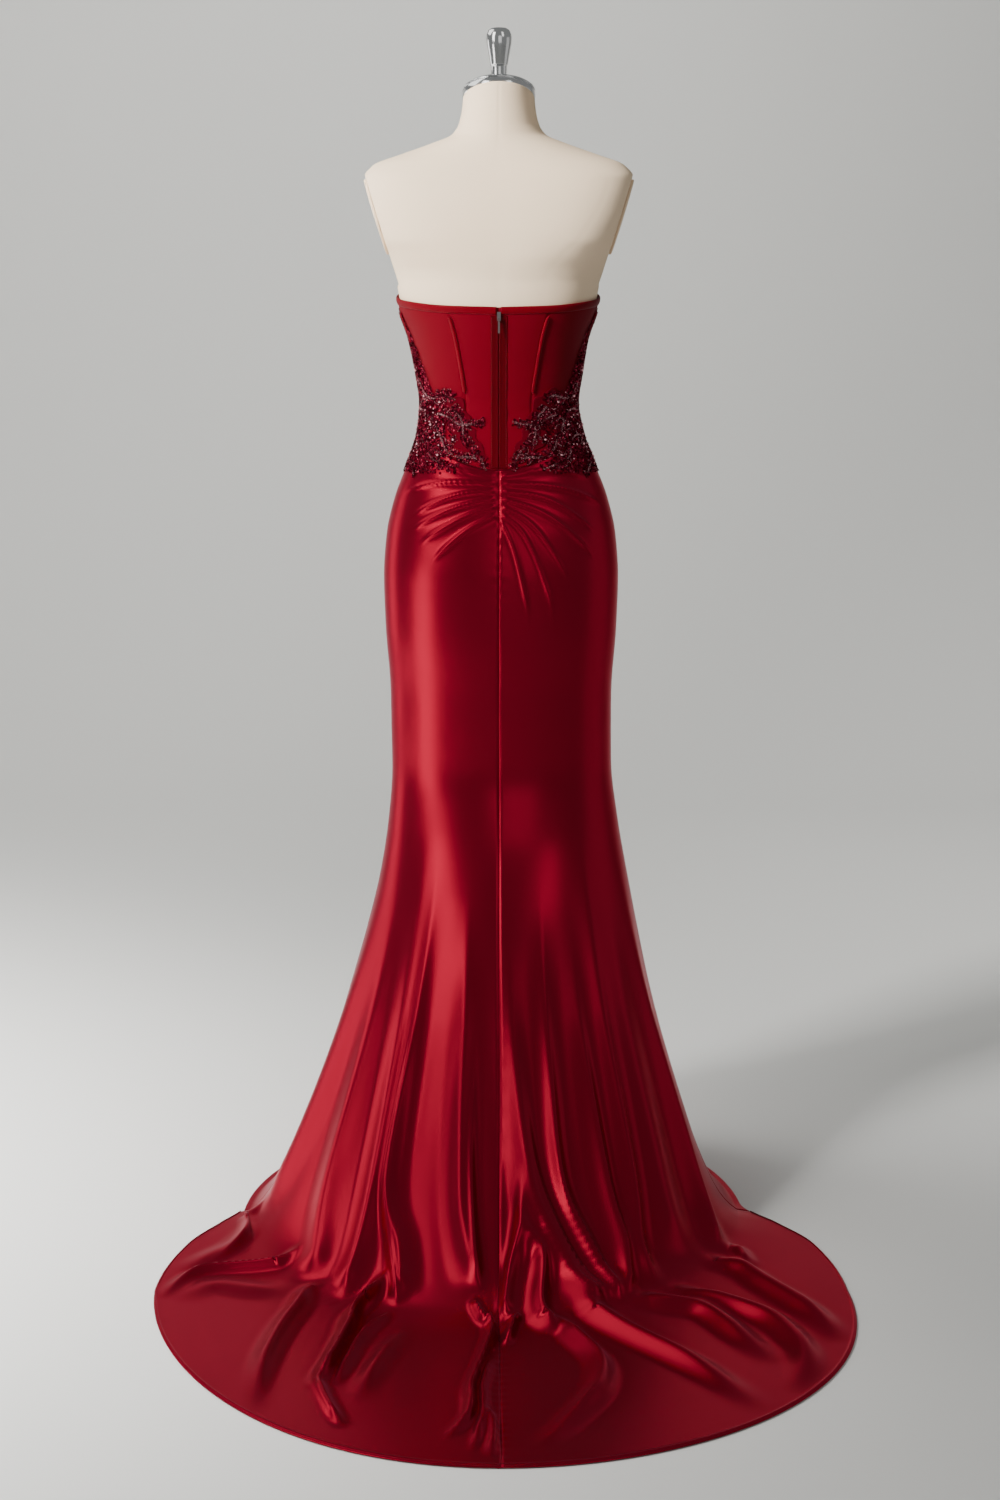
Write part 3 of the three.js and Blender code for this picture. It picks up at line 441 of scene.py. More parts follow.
print("end of the train at", base_point(0.0, HEM_LEVEL).round().tolist())


# %% [markdown]
# Folds are ridges along lines on that surface. Each row names a ridge's height and width in mm,
# how much of its length it takes to rise and to fall away, how sharp its crest is, how far it
# leans to one side, and its path as angles and levels. A leaning ridge looks like cloth that has
# tipped over, which is how most folds of a train lie. Flutes come down the flare, train folds
# lie on the floor, and gathers fan out from the centre seam under the bodice. A gather's row
# holds its height and width, its start on the seam, and the angle and height of its middle and
# its end.

# %% Fold tables
FLUTES = (
    (10, 60, 0.8, 0.15, 0.2, 0.0, ((-72, 560), (-76, 300), (-80, 90), (-85, 4))),
    (14, 40, 0.8, 0.08, 0.4, 0.2, ((-55, 520), (-54, 300), (-52, 103), (-45, 4))),
    (17, 30, 0.8, 0.08, 0.5, 0.3, ((-38, 560), (-38, 300), (-36, 99), (-36, 17), (-33, 4))),
    (10, 15, 0.8, 0.08, 0.7, 0.3, ((-32, 300), (-32, 180), (-31, 107), (-25, 35), (-22, 7))),
    (14, 20, 0.8, 0.06, 0.6, -0.2, ((-29, 520), (-31, 300), (-30, 123), (-24, 60), (-21, 15))),
    (13, 24, 0.8, 0.10, 0.6, 0.2, ((-13, 480), (-12.5, 260), (-11, 130), (-9, 76), (-5.8, 26))),
    (9, 12, 0.8, 0.10, 0.7, 0.3, ((-8.5, 300), (-8.5, 190), (-8, 132), (-6, 54), (-3.8, 27))),
    (16, 16, 0.5, 0.10, 0.7, -0.3, ((5.2, 150), (5.8, 88), (3.3, 43), (1.8, 5))),
    (18, 20, 0.4, 0.15, 0.7, 0.3, ((5.6, 110), (6.2, 86), (9.5, 55), (8.4, 13), (10.5, -10))),
    (18, 26, 0.8, 0.06, 0.6, 0.3, ((3, 430), (5, 260), (7.5, 133), (12.8, 70), (18, 30), (25, 7))),
    (8, 12, 0.8, 0.10, 0.7, 0.3, ((8, 240), (9.5, 150), (14.5, 80), (20, 36), (26, 12))),
    (15, 20, 0.8, 0.06, 0.7, 0.3,
     ((18, 480), (16.5, 250), (16.5, 130), (21.8, 66), (26, 25), (28.5, 4))),
    (16, 22, 0.8, 0.08, 0.6, 0.3, ((31, 420), (30, 240), (29.8, 123), (31.2, 53), (29, 6))),
    (14, 26, 0.8, 0.10, 0.5, 0.3, ((42, 560), (40, 300), (38.5, 117), (36.2, 48), (40, 5))),
    (13, 50, 0.8, 0.12, 0.2, 0.1, ((54, 520), (52, 300), (50, 105), (49, 20))),
    (15, 36, 0.8, 0.10, 0.4, 0.3, ((72, 560), (70, 300), (68, 81), (65, 26), (64, -6))),
    (13, 90, 0.6, 0.05, 0.1, 0.0, ((112, 600), (114, 300), (116, 3))),
    (14, 90, 0.6, 0.05, 0.1, 0.0, ((142, 600), (141, 300), (140, 3))),
    (13, 90, 0.6, 0.05, 0.1, 0.0, ((168, 600), (168, 300), (167, 3))),
    (14, 90, 0.6, 0.05, 0.1, 0.0, ((-166, 600), (-165, 300), (-165, 3))),
    (13, 90, 0.6, 0.05, 0.1, 0.0, ((-139, 600), (-139, 300), (-140, 3))),
    (14, 90, 0.6, 0.05, 0.1, 0.0, ((-113, 600), (-114, 300), (-116, 3))),
)
TRAIN_FOLDS = (
    (11, 15, 0.25, 0.45, 0.5, 0.1, ((-86, 30), (-84, 5), (-74, -10), (-68, -34), (-64, -62))),
    (6, 26, 0.35, 0.45, 0.1, 0.2, ((-80, 4), (-72, -24), (-67, -60), (-63, -86))),
    (13, 16, 0.20, 0.45, 0.5, 0.1, ((-54, 34), (-57, 4), (-61, -40), (-61.2, -69), (-55, -96))),
    (5, 34, 0.35, 0.45, 0.1, 0.2, ((-45, -8), (-50, -24), (-56, -52), (-53, -84))),
    (18, 20, 0.22, 0.45, 0.6, 0.2,
     ((-39, 18), (-43, -2), (-39, -22), (-35, -43), (-29, -72), (-23, -97))),
    (25, 15, 0.20, 0.20, 0.8, 0.2, ((-26.5, 40), (-29.5, -2), (-26, -24), (-23, -45), (-20.8, -69))),
    (12, 11, 0.25, 0.25, 0.8, -0.2, ((-23, 6), (-23, -20), (-20.5, -44), (-19, -62))),
    (14, 12, 0.25, 0.30, 0.8, -0.2, ((-22, -60), (-19, -70), (-14, -87))),
    (9, 20, 0.35, 0.50, 0.5, 0.0, ((-18, -5), (-17, -34), (-15, -70))),
    (12, 9, 0.25, 0.25, 0.8, 0.2, ((-6, 22), (-4, 6), (-1.5, -4))),
    (16, 10, 0.20, 0.25, 0.8, 0.2,
     ((-4.5, 14), (-1.8, -3), (-2.5, -22), (-3.5, -46), (-3.2, -66), (-5, -84))),
    (10, 8, 0.25, 0.30, 0.8, -0.2, ((-1.0, -20), (-1.8, -44), (-1.6, -66), (-2.4, -92))),
    (9, 8, 0.25, 0.30, 0.8, 0.2, ((-1.2, -60), (-0.7, -76), (-0.9, -94))),
    (14, 9, 0.20, 0.30, 0.8, 0.2, ((4.5, 10), (2.5, -3), (0.9, -15))),
    (17, 20, 0.18, 0.45, 0.3, 0.2, ((12, 10), (13, -14), (13.5, -32), (11, -51), (7.5, -66), (2.5, -90))),
    (16, 27, 0.20, 0.50, 0.2, 0.2, ((15, 34), (20, 8), (22.5, -20), (24, -52), (23.5, -98))),
    (14, 26, 0.25, 0.45, 0.2, 0.2, ((28, 18), (35, -4), (38.5, -22), (35, -50), (32, -76))),
    (16, 27, 0.22, 0.40, 0.2, 0.2, ((40, 14), (43, -14), (43, -48), (39.5, -69), (35, -84), (28, -95))),
    (16, 27, 0.22, 0.40, 0.2, 0.2, ((57, 20), (58.5, -14), (54, -40), (48, -72), (42, -94))),
    (10, 20, 0.35, 0.40, 0.4, 0.2, ((69, 2), (65, -12), (59.5, -24))),
)
LEFT_GATHERS = (
    (2.6, 5.5, 1043, -12, 1050, -30, 1063),
    (3.0, 6.0, 1036, -30, 1047, -60, 1052),
    (3.6, 6.5, 1027, -34, 1026, -66, 1011),
    (3.8, 6.5, 1017, -24, 1008, -52, 978),
    (3.8, 6.5, 1007, -24, 990, -50, 958),
    (3.8, 7.0, 996, -18, 977, -42, 940),
    (3.4, 7.0, 984, -16, 958, -33, 917),
)
RIGHT_GATHERS = (
    (2.6, 5.5, 1043, 14, 1052, 42, 1067),
    (3.0, 6.0, 1036, 28, 1044, 62, 1031),
    (3.8, 6.5, 1026, 32, 1020, 70, 991),
    (3.8, 6.5, 1016, 26, 1002, 56, 952),
    (3.8, 7.0, 1006, 24, 980, 54, 915),
    (3.6, 7.0, 996, 16, 965, 34, 890),
    (3.4, 7.5, 986, 12, 948, 26, 840),
    (3.0, 8.0, 976, 6, 932, 13, 836),
)
GATHER_GROWTH, GATHER_SLIMNESS = 1.1, 0.8
GATHER_SHAPE = (0.07, 0.3, 0.8, 0.0)
GATHER_START_DEG = 0.6


def gather_rows(rows):
    for high, wide, start, middle_deg, middle, end_deg, end in rows:
        side = math.copysign(GATHER_START_DEG, end_deg)
        path = ((side, start), (middle_deg, middle), (end_deg, end))
        yield (GATHER_GROWTH * high, GATHER_SLIMNESS * wide, *GATHER_SHAPE, path)


GATHERS = [*gather_rows(LEFT_GATHERS), *gather_rows(RIGHT_GATHERS)]
FOLDS = [*FLUTES, *TRAIN_FOLDS]
print("folds", len(FOLDS), "gathers", len(GATHERS))

# %% [markdown]
# Real folds have no hard borders: their crests are round or pinched, they fade at both ends and
# press a shallow trough on either side. A function gives each point its share of a fold by its
# distance from the path, so that no mesh has to be sculpted by hand. Folds add up where they
# meet. Gathers don't: the highest wins, which leaves the crease between two of them.

# %% Fold shapes
LINE_STEPS = 8
FOLD_REACH = 3
ROUND_FALL = 2.4
SHARP_FALL, SHARP_END, SHARP_FADE = 7, 2.2, 1.5
TROUGH = {"deep": 0.12, "at": 1.5, "wide": 0.5, "least": 12}


def through(points, steps):
    """Smooth line through points: a Catmull-Rom curve with so many steps on each leg."""
    points = np.array(points, float)
    padded = np.vstack([2 * points[0] - points[1], points, 2 * points[-1] - points[-2]])
    line = []
    for a, b, c, d in zip(padded, padded[1:], padded[2:], padded[3:]):
        t = np.arange(steps)[:, None] / steps
        bend = 2 * a - 5 * b + 4 * c - d + t * (3 * (b - c) + d - a)
        line.append(b + 0.5 * t * (c - a + t * bend))
    return np.vstack([*line, points[-1:]])


def fold_line(fold):
    line = through(fold[-1], LINE_STEPS)
    points = base_point(line[:, 0], line[:, 1])
    reach = np.concatenate([[0], np.cumsum(np.linalg.norm(np.diff(points, axis=0), axis=1))])
    return points, reach / reach[-1]


def fold_shares(points, normals, fold):
    """Which points a fold reaches, how much of its height they get, and the way across it."""
    _, wide, rise, fall, sharp, _, _ = fold
    line, reach = fold_line(fold)
    room = FOLD_REACH * wide
    near = np.all((points > line.min(0) - room) & (points < line.max(0) + room), axis=1)
    picked = np.flatnonzero(near)
    p, n = points[picked], normals[picked]
    best = np.full(len(p), 1e9)
    along = np.zeros(len(p))
    across = np.zeros_like(p)
    for i in range(len(line) - 1):
        leg = line[i + 1] - line[i]
        t = np.clip((p - line[i]) @ leg / (leg @ leg), 0, 1)
        distance = np.linalg.norm(p - line[i] - t[:, None] * leg, axis=1)
        closer = distance < best
        best = np.where(closer, distance, best)
        along = np.where(closer, reach[i] + t * (reach[i + 1] - reach[i]), along)
        across[closer] = np.cross(n[closer], leg / np.linalg.norm(leg))
    ends = smooth(along / rise) * smooth((1 - along) / fall)
    size = best / wide
    round_crest = np.exp(-ROUND_FALL * size**2)
    sharp_crest = smooth((SHARP_END - size) / SHARP_FADE) / (1 + SHARP_FALL * size**2)
    return picked, ends * ((1 - sharp) * round_crest + sharp * sharp_crest), size, across


def add_fold(points, normals, push, fold):
    """Adds one fold to push, the offsets of the points, with a shallow trough on either side."""
    picked, crest, size, across = fold_shares(points, normals, fold)
    beside = np.exp(-(((size - TROUGH["at"]) / TROUGH["wide"]) ** 2))
    trough = TROUGH["deep"] * beside * np.minimum(1, crest * TROUGH["least"])
    high, lean = fold[0], fold[5]
    push[picked] += normals[picked] * (high * (crest - trough))[:, None]
    push[picked] += across * (high * lean * crest)[:, None]


def gather_height(points, normals):
    """How far the gathers lift each point: the highest of them wins."""
    height = np.zeros(len(points))
    for fold in GATHERS:
        picked, crest, _, _ = fold_shares(points, normals, fold)
        height[picked] = np.maximum(height[picked], fold[0] * crest)
    return height


print("a gather is", round(GATHERS[0][0], 2), "mm high,", round(GATHERS[0][1], 2), "mm to each side")

# %% [markdown]
# Cloth panels start as a flat grid from bmesh. The grid's own coordinates say which angle and
# level each point stands for, and the points are then moved to the surface of the body. Each
# panel rides the dressed form, gets a finish and its wall, and says which solid it replaces. Its
# area is measured before it has a wall, because that is what a cutter lays out.

# %% Panel maker
def grid_mesh(name, columns, rows, flip=False):
    """A flat grid whose points run from 0 to 1 both ways, returned with those coordinates."""
    mesh = bpy.data.meshes.new(name)
    bm = bmesh.new()
    bmesh.ops.create_grid(bm, x_segments=columns, y_segments=rows, size=0.5)
    bmesh.ops.translate(bm, verts=bm.verts, vec=(0.5, 0.5, 0))
    if flip:
        bmesh.ops.reverse_faces(bm, faces=bm.faces)
    bm.to_mesh(mesh)
    bm.free()
    flat = np.empty(3 * len(mesh.vertices))
    mesh.vertices.foreach_get("co", flat)
    flat = flat.reshape(-1, 3)
    return mesh, flat[:, 0].copy(), flat[:, 1].copy()


def face_outwards(mesh):
    """Turns the faces of an open mesh that lies round the body and shows its back."""
    outward = sum(f.normal.x * f.center.x + f.normal.y * f.center.y for f in mesh.polygons)
    if outward < 0:
        bm = bmesh.new()
        bm.from_mesh(mesh)
        bmesh.ops.reverse_faces(bm, faces=bm.faces)
        bm.to_mesh(mesh)
        bm.free()


def add_piece(name, mesh, material, nodes=()):
    piece = bpy.data.objects.new(name, mesh)
    bpy.context.collection.objects.link(piece)
    mesh.materials.append(material)
    mesh.shade_smooth()
    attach(piece, BODY)
    if nodes:
        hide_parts(*nodes)
    return piece


def set_points(mesh, points):
    mesh.vertices.foreach_set("co", (points * MM).ravel())
    mesh.update()


def flat_area(mesh):
    """The area of a mesh in square metres, before it has a wall."""
    faces = np.empty(len(mesh.polygons))
    mesh.polygons.foreach_get("area", faces)
    return float(faces.sum())


def thicken(piece, thick):
    round(flat_area(piece.data), 5)
    wall = piece.modifiers.new("wall", "SOLIDIFY")
    wall.thickness = thick * MM
    wall.offset = -1


# %% [markdown]
# The skirt is two back panels and a front one. A grid's rows lie closer together where the
# gathers are, on the train and at the hem. Where the skirt meets the floor the cloth can't bend
# sharply, so an arch lifts it over that line and dies away up the skirt and out over the train.
# The centre seam sinks in and puckers a little, and the hem is rolled.

# %% Skirt panels
CENTRE_SEAM = {"wide": 2.4, "deep": 1.3, "reach_deg": 60}
PUCKER = {"high": 0.45, "wave": 3.1, "fade": 6, "reach": 14}
HEM = {"high": 1.3, "share": 2.4, "steep": 1.3}
FLOOR_CLEAR = 1.25
ARCH = {"high": 10.0, "out": 42.0, "rise": 22, "least": 0.25}
WAIST_SPAN = 1045
WAIST_GAP, WAIST_FADE = 0.15, 8
NEAR_SEAM, SEAM_CROWDING = 0.65, 1.25
BACK_STEPS = (
    (0.0, -100.0), (0.03, -97.0), (0.35, 0.0), (0.40, 36.0), (0.56, 300.0), (0.70, 850.0),
    (1.0, WAIST_SPAN),
)
FRONT_STEPS = ((0, -100), (0.06, 0), (0.1, 16), (0.5, 300), (0.75, 850), (1, WAIST_SPAN))


def floor_arch(deg, level, base):
    """How far the train's cloth is lifted where it passes from the skirt to the floor."""
    from_line = np.linalg.norm(base - base_point(deg, 0.0), axis=1)
    above, foot = base_point(deg, FLOOR_Z + ARCH["rise"]), base_point(deg, FLOOR_Z)
    run = np.linalg.norm((above - foot)[:, :2], axis=1) / ARCH["rise"]
    up = ARCH["high"] / np.clip(1 - ARCH["high"] * run / ARCH["out"], ARCH["least"], 1)
    fade = np.exp(-np.where(level < FLOOR_Z, from_line / ARCH["out"], (level - FLOOR_Z) / up))
    return ARCH["high"] * fade * spread["train"](np.abs(deg)) * (from_back(deg) < TRAIN_DEG)


def skirt_panel(name, from_deg, to_deg, columns, rows, steps):
    mesh, u, v = grid_mesh(name, columns, rows, flip=to_deg < from_deg)
    if from_deg == 0:
        u = (1 - NEAR_SEAM) * u + NEAR_SEAM * u**SEAM_CROWDING
    deg = from_deg + (to_deg - from_deg) * u
    down = np.interp(v, *np.array(steps, float).T)
    top = waist_seam(deg) - WAIST_GAP
    level = np.where(down < 0, down, FLOOR_Z + down * (top - FLOOR_Z) / WAIST_SPAN)
    base = base_point(deg, level)
    normal = base_normal(deg, level)
    push = np.zeros_like(base)
    for fold in FOLDS:
        add_fold(base, normal, push, fold)
    push += normal * gather_height(base, normal)[:, None]
    points = base + push * smooth((top - level) / WAIST_FADE)[:, None]
    points[:, 2] += floor_arch(deg, level, base)
    from_seam = np.abs(base[:, 0])
    sunk = np.exp(-((from_seam / CENTRE_SEAM["wide"]) ** 2)) * (from_back(deg) < CENTRE_SEAM["reach_deg"])
    pucker = PUCKER["high"] * np.sin((base[:, 1] + base[:, 2]) / PUCKER["wave"])
    pucker *= (from_seam < PUCKER["reach"]) * np.exp(-from_seam / PUCKER["fade"])
    points -= normal * (CENTRE_SEAM["deep"] * sunk + pucker)[:, None]
    roll = np.clip((HEM["share"] - (level - HEM_LEVEL)) / HEM["share"], 0, 1)
    points[:, 2] += HEM["high"] * np.sin(np.pi * np.clip(roll * HEM["steep"], 0, 1))
    points[:, 2] = np.maximum(points[:, 2], FLOOR_CLEAR)
    set_points(mesh, points)
    piece = add_piece(name, mesh, SATIN, (name.replace("satin_", "skirt_"),))
    print(name, "area", round(flat_area(mesh), 3), "quads", len(mesh.polygons))
    thicken(piece, CLOTH)
    return piece


FINE = 1.0
BACK_GRID = (int(205 * FINE), int(225 * FINE))
skirt_panel("satin_back_left", 0, -90, *BACK_GRID, BACK_STEPS)
skirt_panel("satin_back_right", 0, 90, *BACK_GRID, BACK_STEPS)
satin_front = skirt_panel("satin_front", 90, 270, int(150 * FINE), int(100 * FINE), FRONT_STEPS)

# %% [markdown]
# The bodice is seven panels over the form, each between two seams that lean in to the waist. A
# panel's edges roll inwards a little where the seam pulls them, and faint drag lines cross it at
# the waist. The back panels meet at the zip, under two narrow folded edges of the placket.

# %% Bodice panels
SEAM_TOP_Z, SEAM_WAIST_Z = 1262, 1139
BODICE_SEAMS = {
    "zip": (0, 0), "inner": (28, 22), "outer": (80, 71), "front": (152, 160), "far_front": (208, 200),
}
BODICE_CLOTH = 1.4
EDGE_ROLL, EDGE_WIDE = 0.9, 2.2
DRAG = {"high": 0.5, "z": 1120, "reach": 38, "wave": 5.5, "sway": 0.9, "sway_deg": 11, "fade": 14}
BODICE_SINK = 0.2


def seam_deg(name, z):
    top, waist = BODICE_SEAMS[name]
    return waist + (top - waist) * np.clip((z - SEAM_WAIST_Z) / (SEAM_TOP_Z - SEAM_WAIST_Z), 0, 1)


def on_surface(deg, z, lift):
    """Points at a distance from the unfolded dress."""
    return base_point(deg, z) + base_normal(deg, z) * np.asarray(lift)[..., None]


def mm_per_degree(deg, z):
    return np.linalg.norm(base_point(deg + 0.5, z) - base_point(deg - 0.5, z), axis=-1)


def bodice_panel(name, side, from_seam, to_seam, columns, rows):
    mesh, u, v = grid_mesh(name, columns, rows, flip=side < 0)
    u = 0.5 - 0.5 * np.cos(np.pi * u)
    z = np.full_like(u, SEAM_WAIST_Z)
    for _ in range(3):
        start, end = seam_deg(from_seam, z), seam_deg(to_seam, z)
        deg = start + (end - start) * u
        low = waist_seam(deg) + WAIST_GAP
        z = low + (top_edge(deg) - low) * v
    deg = side * deg
    width = np.abs(seam_deg(to_seam, z) - seam_deg(from_seam, z)) * mm_per_degree(deg, z)
    from_edge = np.minimum(u, 1 - u) * width
    roll = EDGE_ROLL * np.exp(-((from_edge / EDGE_WIDE) ** 2))
    sway = DRAG["sway"] * np.sin(deg / DRAG["sway_deg"]) + side
    near_waist = np.exp(-(((z - DRAG["z"]) / DRAG["reach"]) ** 2))
    drag = DRAG["high"] * near_waist * np.sin(z / DRAG["wave"] + sway)
    lift = drag * np.clip(from_edge / DRAG["fade"], 0, 1) - roll - BODICE_SINK
    set_points(mesh, on_surface(deg, z, lift))
    piece = add_piece(name, mesh, BODICE, (name.replace("cloth_", "bodice_"),))
    print(name, "area", round(flat_area(mesh), 4), "width", round(float(width.mean())))
    thicken(piece, BODICE_CLOTH)
    return piece


for side, word in ((-1, "left"), (1, "right")):
    for part, start, end, columns in (
        ("back", "zip", "inner", 40), ("side", "inner", "outer", 60), ("front_side", "outer", "front", 66),
    ):
        bodice_panel(f"cloth_{part}_{word}", side, start, end, columns, 90)
cloth_front = bodice_panel("cloth_front", 1, "front", "far_front", 46, 90)

# %% [markdown]
# The upper edge is bound with a narrow folded strip, and flat tubes of the same cloth hold the
# boning on the back seams. Both are strips that swell in the middle, sewn down along their
# edges with a small stitch every 3 mm. The placket is two strips whose folded edges meet over
# the zip; their dark cloth is painted shade, the shadow that lies along the zip.

# %% Binding, boning tubes and placket
BINDING = {"high": 10, "over": 1.0, "thick": 1.7, "from_zip": 3.2}
BONE_LENGTHS = {"inner": (1256, 1150), "outer": (1261, 1220)}
BONE = {"half": 2.9, "thick": 2.6, "blunt": 16, "end": 0.04}
PLACKET = {"half": 14.0, "slit": 0.15, "top": 1257, "bottom": 1047}
PLACKET_FOLD = {"low": 0.25, "high": 0.35, "at": 0.10, "wide": 0.14, "rise": 30}
STRIP_WALL, PLACKET_WALL = 0.7, 0.5
STRIP_EDGE, PLACKET_EDGE = 0.1, 0.05


def strip(name, along, across, place, nodes=(), material=TRIM, wall=STRIP_WALL):
    """A strip on the bodice. place gives angle, height and lift for shares u along and v across."""
    mesh, u, v = grid_mesh(name, along, across)
    set_points(mesh, on_surface(*place(u, v)))
    face_outwards(mesh)
    piece = add_piece(name, mesh, material, nodes)
    thicken(piece, wall)
    return piece


def swell(v, high):
    return STRIP_EDGE + (high - STRIP_EDGE) * np.sqrt(np.clip(np.sin(np.pi * v), 0, 1))


def binding_place(u, v):
    gap = BINDING["from_zip"] / float(mm_per_degree(0.0, float(SEAM_TOP_Z)))
    deg = gap + (360 - 2 * gap) * u
    z = top_edge(deg) - BINDING["high"] + (BINDING["high"] + BINDING["over"]) * v
    return deg, z, swell(v, BINDING["thick"])


def bone_place(seam, side):
    top, bottom = BONE_LENGTHS[seam]

    def place(u, v):
        z = bottom + (top - bottom) * u
        deg = side * seam_deg(seam, z)
        half = BONE["half"] * np.sqrt(np.clip(1 - (2 * u - 1) ** BONE["blunt"], BONE["end"], 1))
        return deg + (2 * v - 1) * half / mm_per_degree(deg, z), z, swell(v, BONE["thick"])

    return place


def placket_place(side):
    def place(u, v):
        z = PLACKET["bottom"] + (PLACKET["top"] - PLACKET["bottom"]) * u
        offset = PLACKET["slit"] + (PLACKET["half"] - PLACKET["slit"]) * v
        fold = np.exp(-(((v - PLACKET_FOLD["at"]) / PLACKET_FOLD["wide"]) ** 2))
        bulge = PLACKET_FOLD["low"] + PLACKET_FOLD["high"] * fold
        lift = bulge * smooth(v * PLACKET_FOLD["rise"]) + PLACKET_EDGE
        return side * offset / mm_per_degree(0.0, z), z, lift

    return place


binding = strip("edge_binding", 420, 10, binding_place, ("top_binding",))
for side, word in ((-1, "left"), (1, "right")):
    for seam in BONE_LENGTHS:
        name = f"{seam}_{word}"
        strip(f"boning_{name}", 60, 10, bone_place(seam, side), (f"bone_{name}",))
    # The placket strips carry that painted shade.
    strip(
        f"placket_{word}", 90, 16, placket_place(side),
        material=PLACKET_SHADE_CLOTH, wall=PLACKET_WALL)

# %% [markdown]
# Stitches, zip teeth, sequins and beads are small things in large numbers. One small shape is
# made with an operator, and a helper lays copies of it along the surface and joins them into
# one mesh, each with its own tone; on sequins and beads the pale tones are painted glints.

# %% Many small copies
def template(make):
    bm = bmesh.new()
    make(bm)
    bm.verts.ensure_lookup_table()
    points = np.array([v.co for v in bm.verts])
    faces = [[v.index for v in face.verts] for face in bm.faces]
    bm.free()
    return points, faces


def frames_at(deg, z, spin, tilt=0.0, rng=None):
    """Axes for copies on the surface: x turned by spin from the level, z along the normal."""
    normal = base_normal(deg, z)
    level = unit(base_point(deg + 0.5, z) - base_point(deg - 0.5, z))
    up = np.cross(normal, level)
    x = level * np.cos(spin)[:, None] + up * np.sin(spin)[:, None]
    if tilt:
        normal = unit(normal + rng.normal(0, tilt, normal.shape))
        x = unit(x - normal * np.sum(x * normal, 1)[:, None])
    return np.stack([x, np.cross(normal, x), normal], 1)


def join_copies(name, shape, places, axes, sizes, shades, material, nodes=()):
    points, faces = shape
    count, size = len(places), len(points)
    laid = places[:, None, :] + np.einsum("pk,nkj->npj", points, axes) * sizes[:, None, None]
    corners = np.concatenate([np.array(face) for face in faces])
    counts = np.array([len(face) for face in faces])
    mesh = bpy.data.meshes.new(name)
    joined = (corners[None, :] + size * np.arange(count)[:, None]).ravel()
    ends = np.cumsum(np.tile(counts, count))[:-1]
    loops = [part.tolist() for part in np.split(joined, ends)]
    mesh.from_pydata(laid.reshape(-1, 3) * MM, [], loops)
    tone_and_glint = mesh.attributes.new("tone_and_glint", "FLOAT", "POINT")
    tone_and_glint.data.foreach_set("value", np.repeat(shades, size).astype(np.float32))
    piece = add_piece(name, mesh, material, nodes)
    print(name, "copies", count, "faces", len(mesh.polygons))
    return piece


STITCH_SIZE = (1.15, 0.3, 0.26)
SEQUIN_CUP = -0.22
BUGLE_RADIUS, BUGLE_LENGTH = 0.55, 2.7
TOOTH_SIZE, TOOTH_EDGE = (1.7, 0.62, 0.8), 0.12


def make_stitch(bm):
    bmesh.ops.create_icosphere(bm, subdivisions=1, radius=1)
    bmesh.ops.scale(bm, verts=bm.verts, vec=STITCH_SIZE)


def make_bead(bm):
    bmesh.ops.create_icosphere(bm, subdivisions=1, radius=1)


def make_round_bead(bm):
    bmesh.ops.create_icosphere(bm, subdivisions=2, radius=1)


def make_sequin(bm):
    bmesh.ops.create_circle(bm, cap_ends=True, cap_tris=True, segments=8, radius=1)
    middle = [v for v in bm.verts if v.co.length < 0.5]
    bmesh.ops.translate(bm, verts=middle, vec=(0, 0, SEQUIN_CUP))


def make_bugle(bm):
    bmesh.ops.create_cone(
        bm, cap_ends=True, segments=5, radius1=BUGLE_RADIUS, radius2=BUGLE_RADIUS, depth=BUGLE_LENGTH,
        matrix=Matrix.Rotation(math.pi / 2, 4, "Y"))


def make_tooth(bm):
    bmesh.ops.create_cube(bm, size=1)
    bmesh.ops.scale(bm, verts=bm.verts, vec=TOOTH_SIZE)
    bmesh.ops.bevel(
        bm, geom=bm.edges[:], offset=TOOTH_EDGE, offset_type="OFFSET", segments=1, profile=0.5,
        affect="EDGES", material=-1,
    )


STITCH, BEAD, ROUND_BEAD = template(make_stitch), template(make_bead), template(make_round_bead)
SEQUIN, TOOTH, BUGLE = template(make_sequin), template(make_tooth), template(make_bugle)
print("faces of a sequin", len(SEQUIN[1]), "of a bead", len(BEAD[1]), "of a bugle", len(BUGLE[1]))

# %% [markdown]
# Sequins and beads are foiled and glint in their own red; on top of that, their palest copies
# are painted glints. A ramp between two colours reads each copy's tone, which sits in the mesh
# as an attribute. The net under them is a dull dark red, and the zip's teeth are dyed to match the dress.

# %% Small-part finishes
def shaded_finish(name, dark, bright, **shader):
    """A finish whose colour runs from dark to bright with each copy's own tone; on sequins and beads the
    bright end is a painted glint.
    """
    material, tree, principled = new_material(name, shader)
    own = tree.nodes.new("ShaderNodeAttribute")
    own.attribute_name = "tone_and_glint"
    ramp = tree.nodes.new("ShaderNodeValToRGB")
    for stop, colour in zip(ramp.color_ramp.elements, (dark, bright)):
        stop.color = (*colour, 1)
    tree.links.new(own.outputs["Fac"], ramp.inputs["Fac"])
    tree.links.new(ramp.outputs["Color"], principled.inputs["Base Color"])
    return material
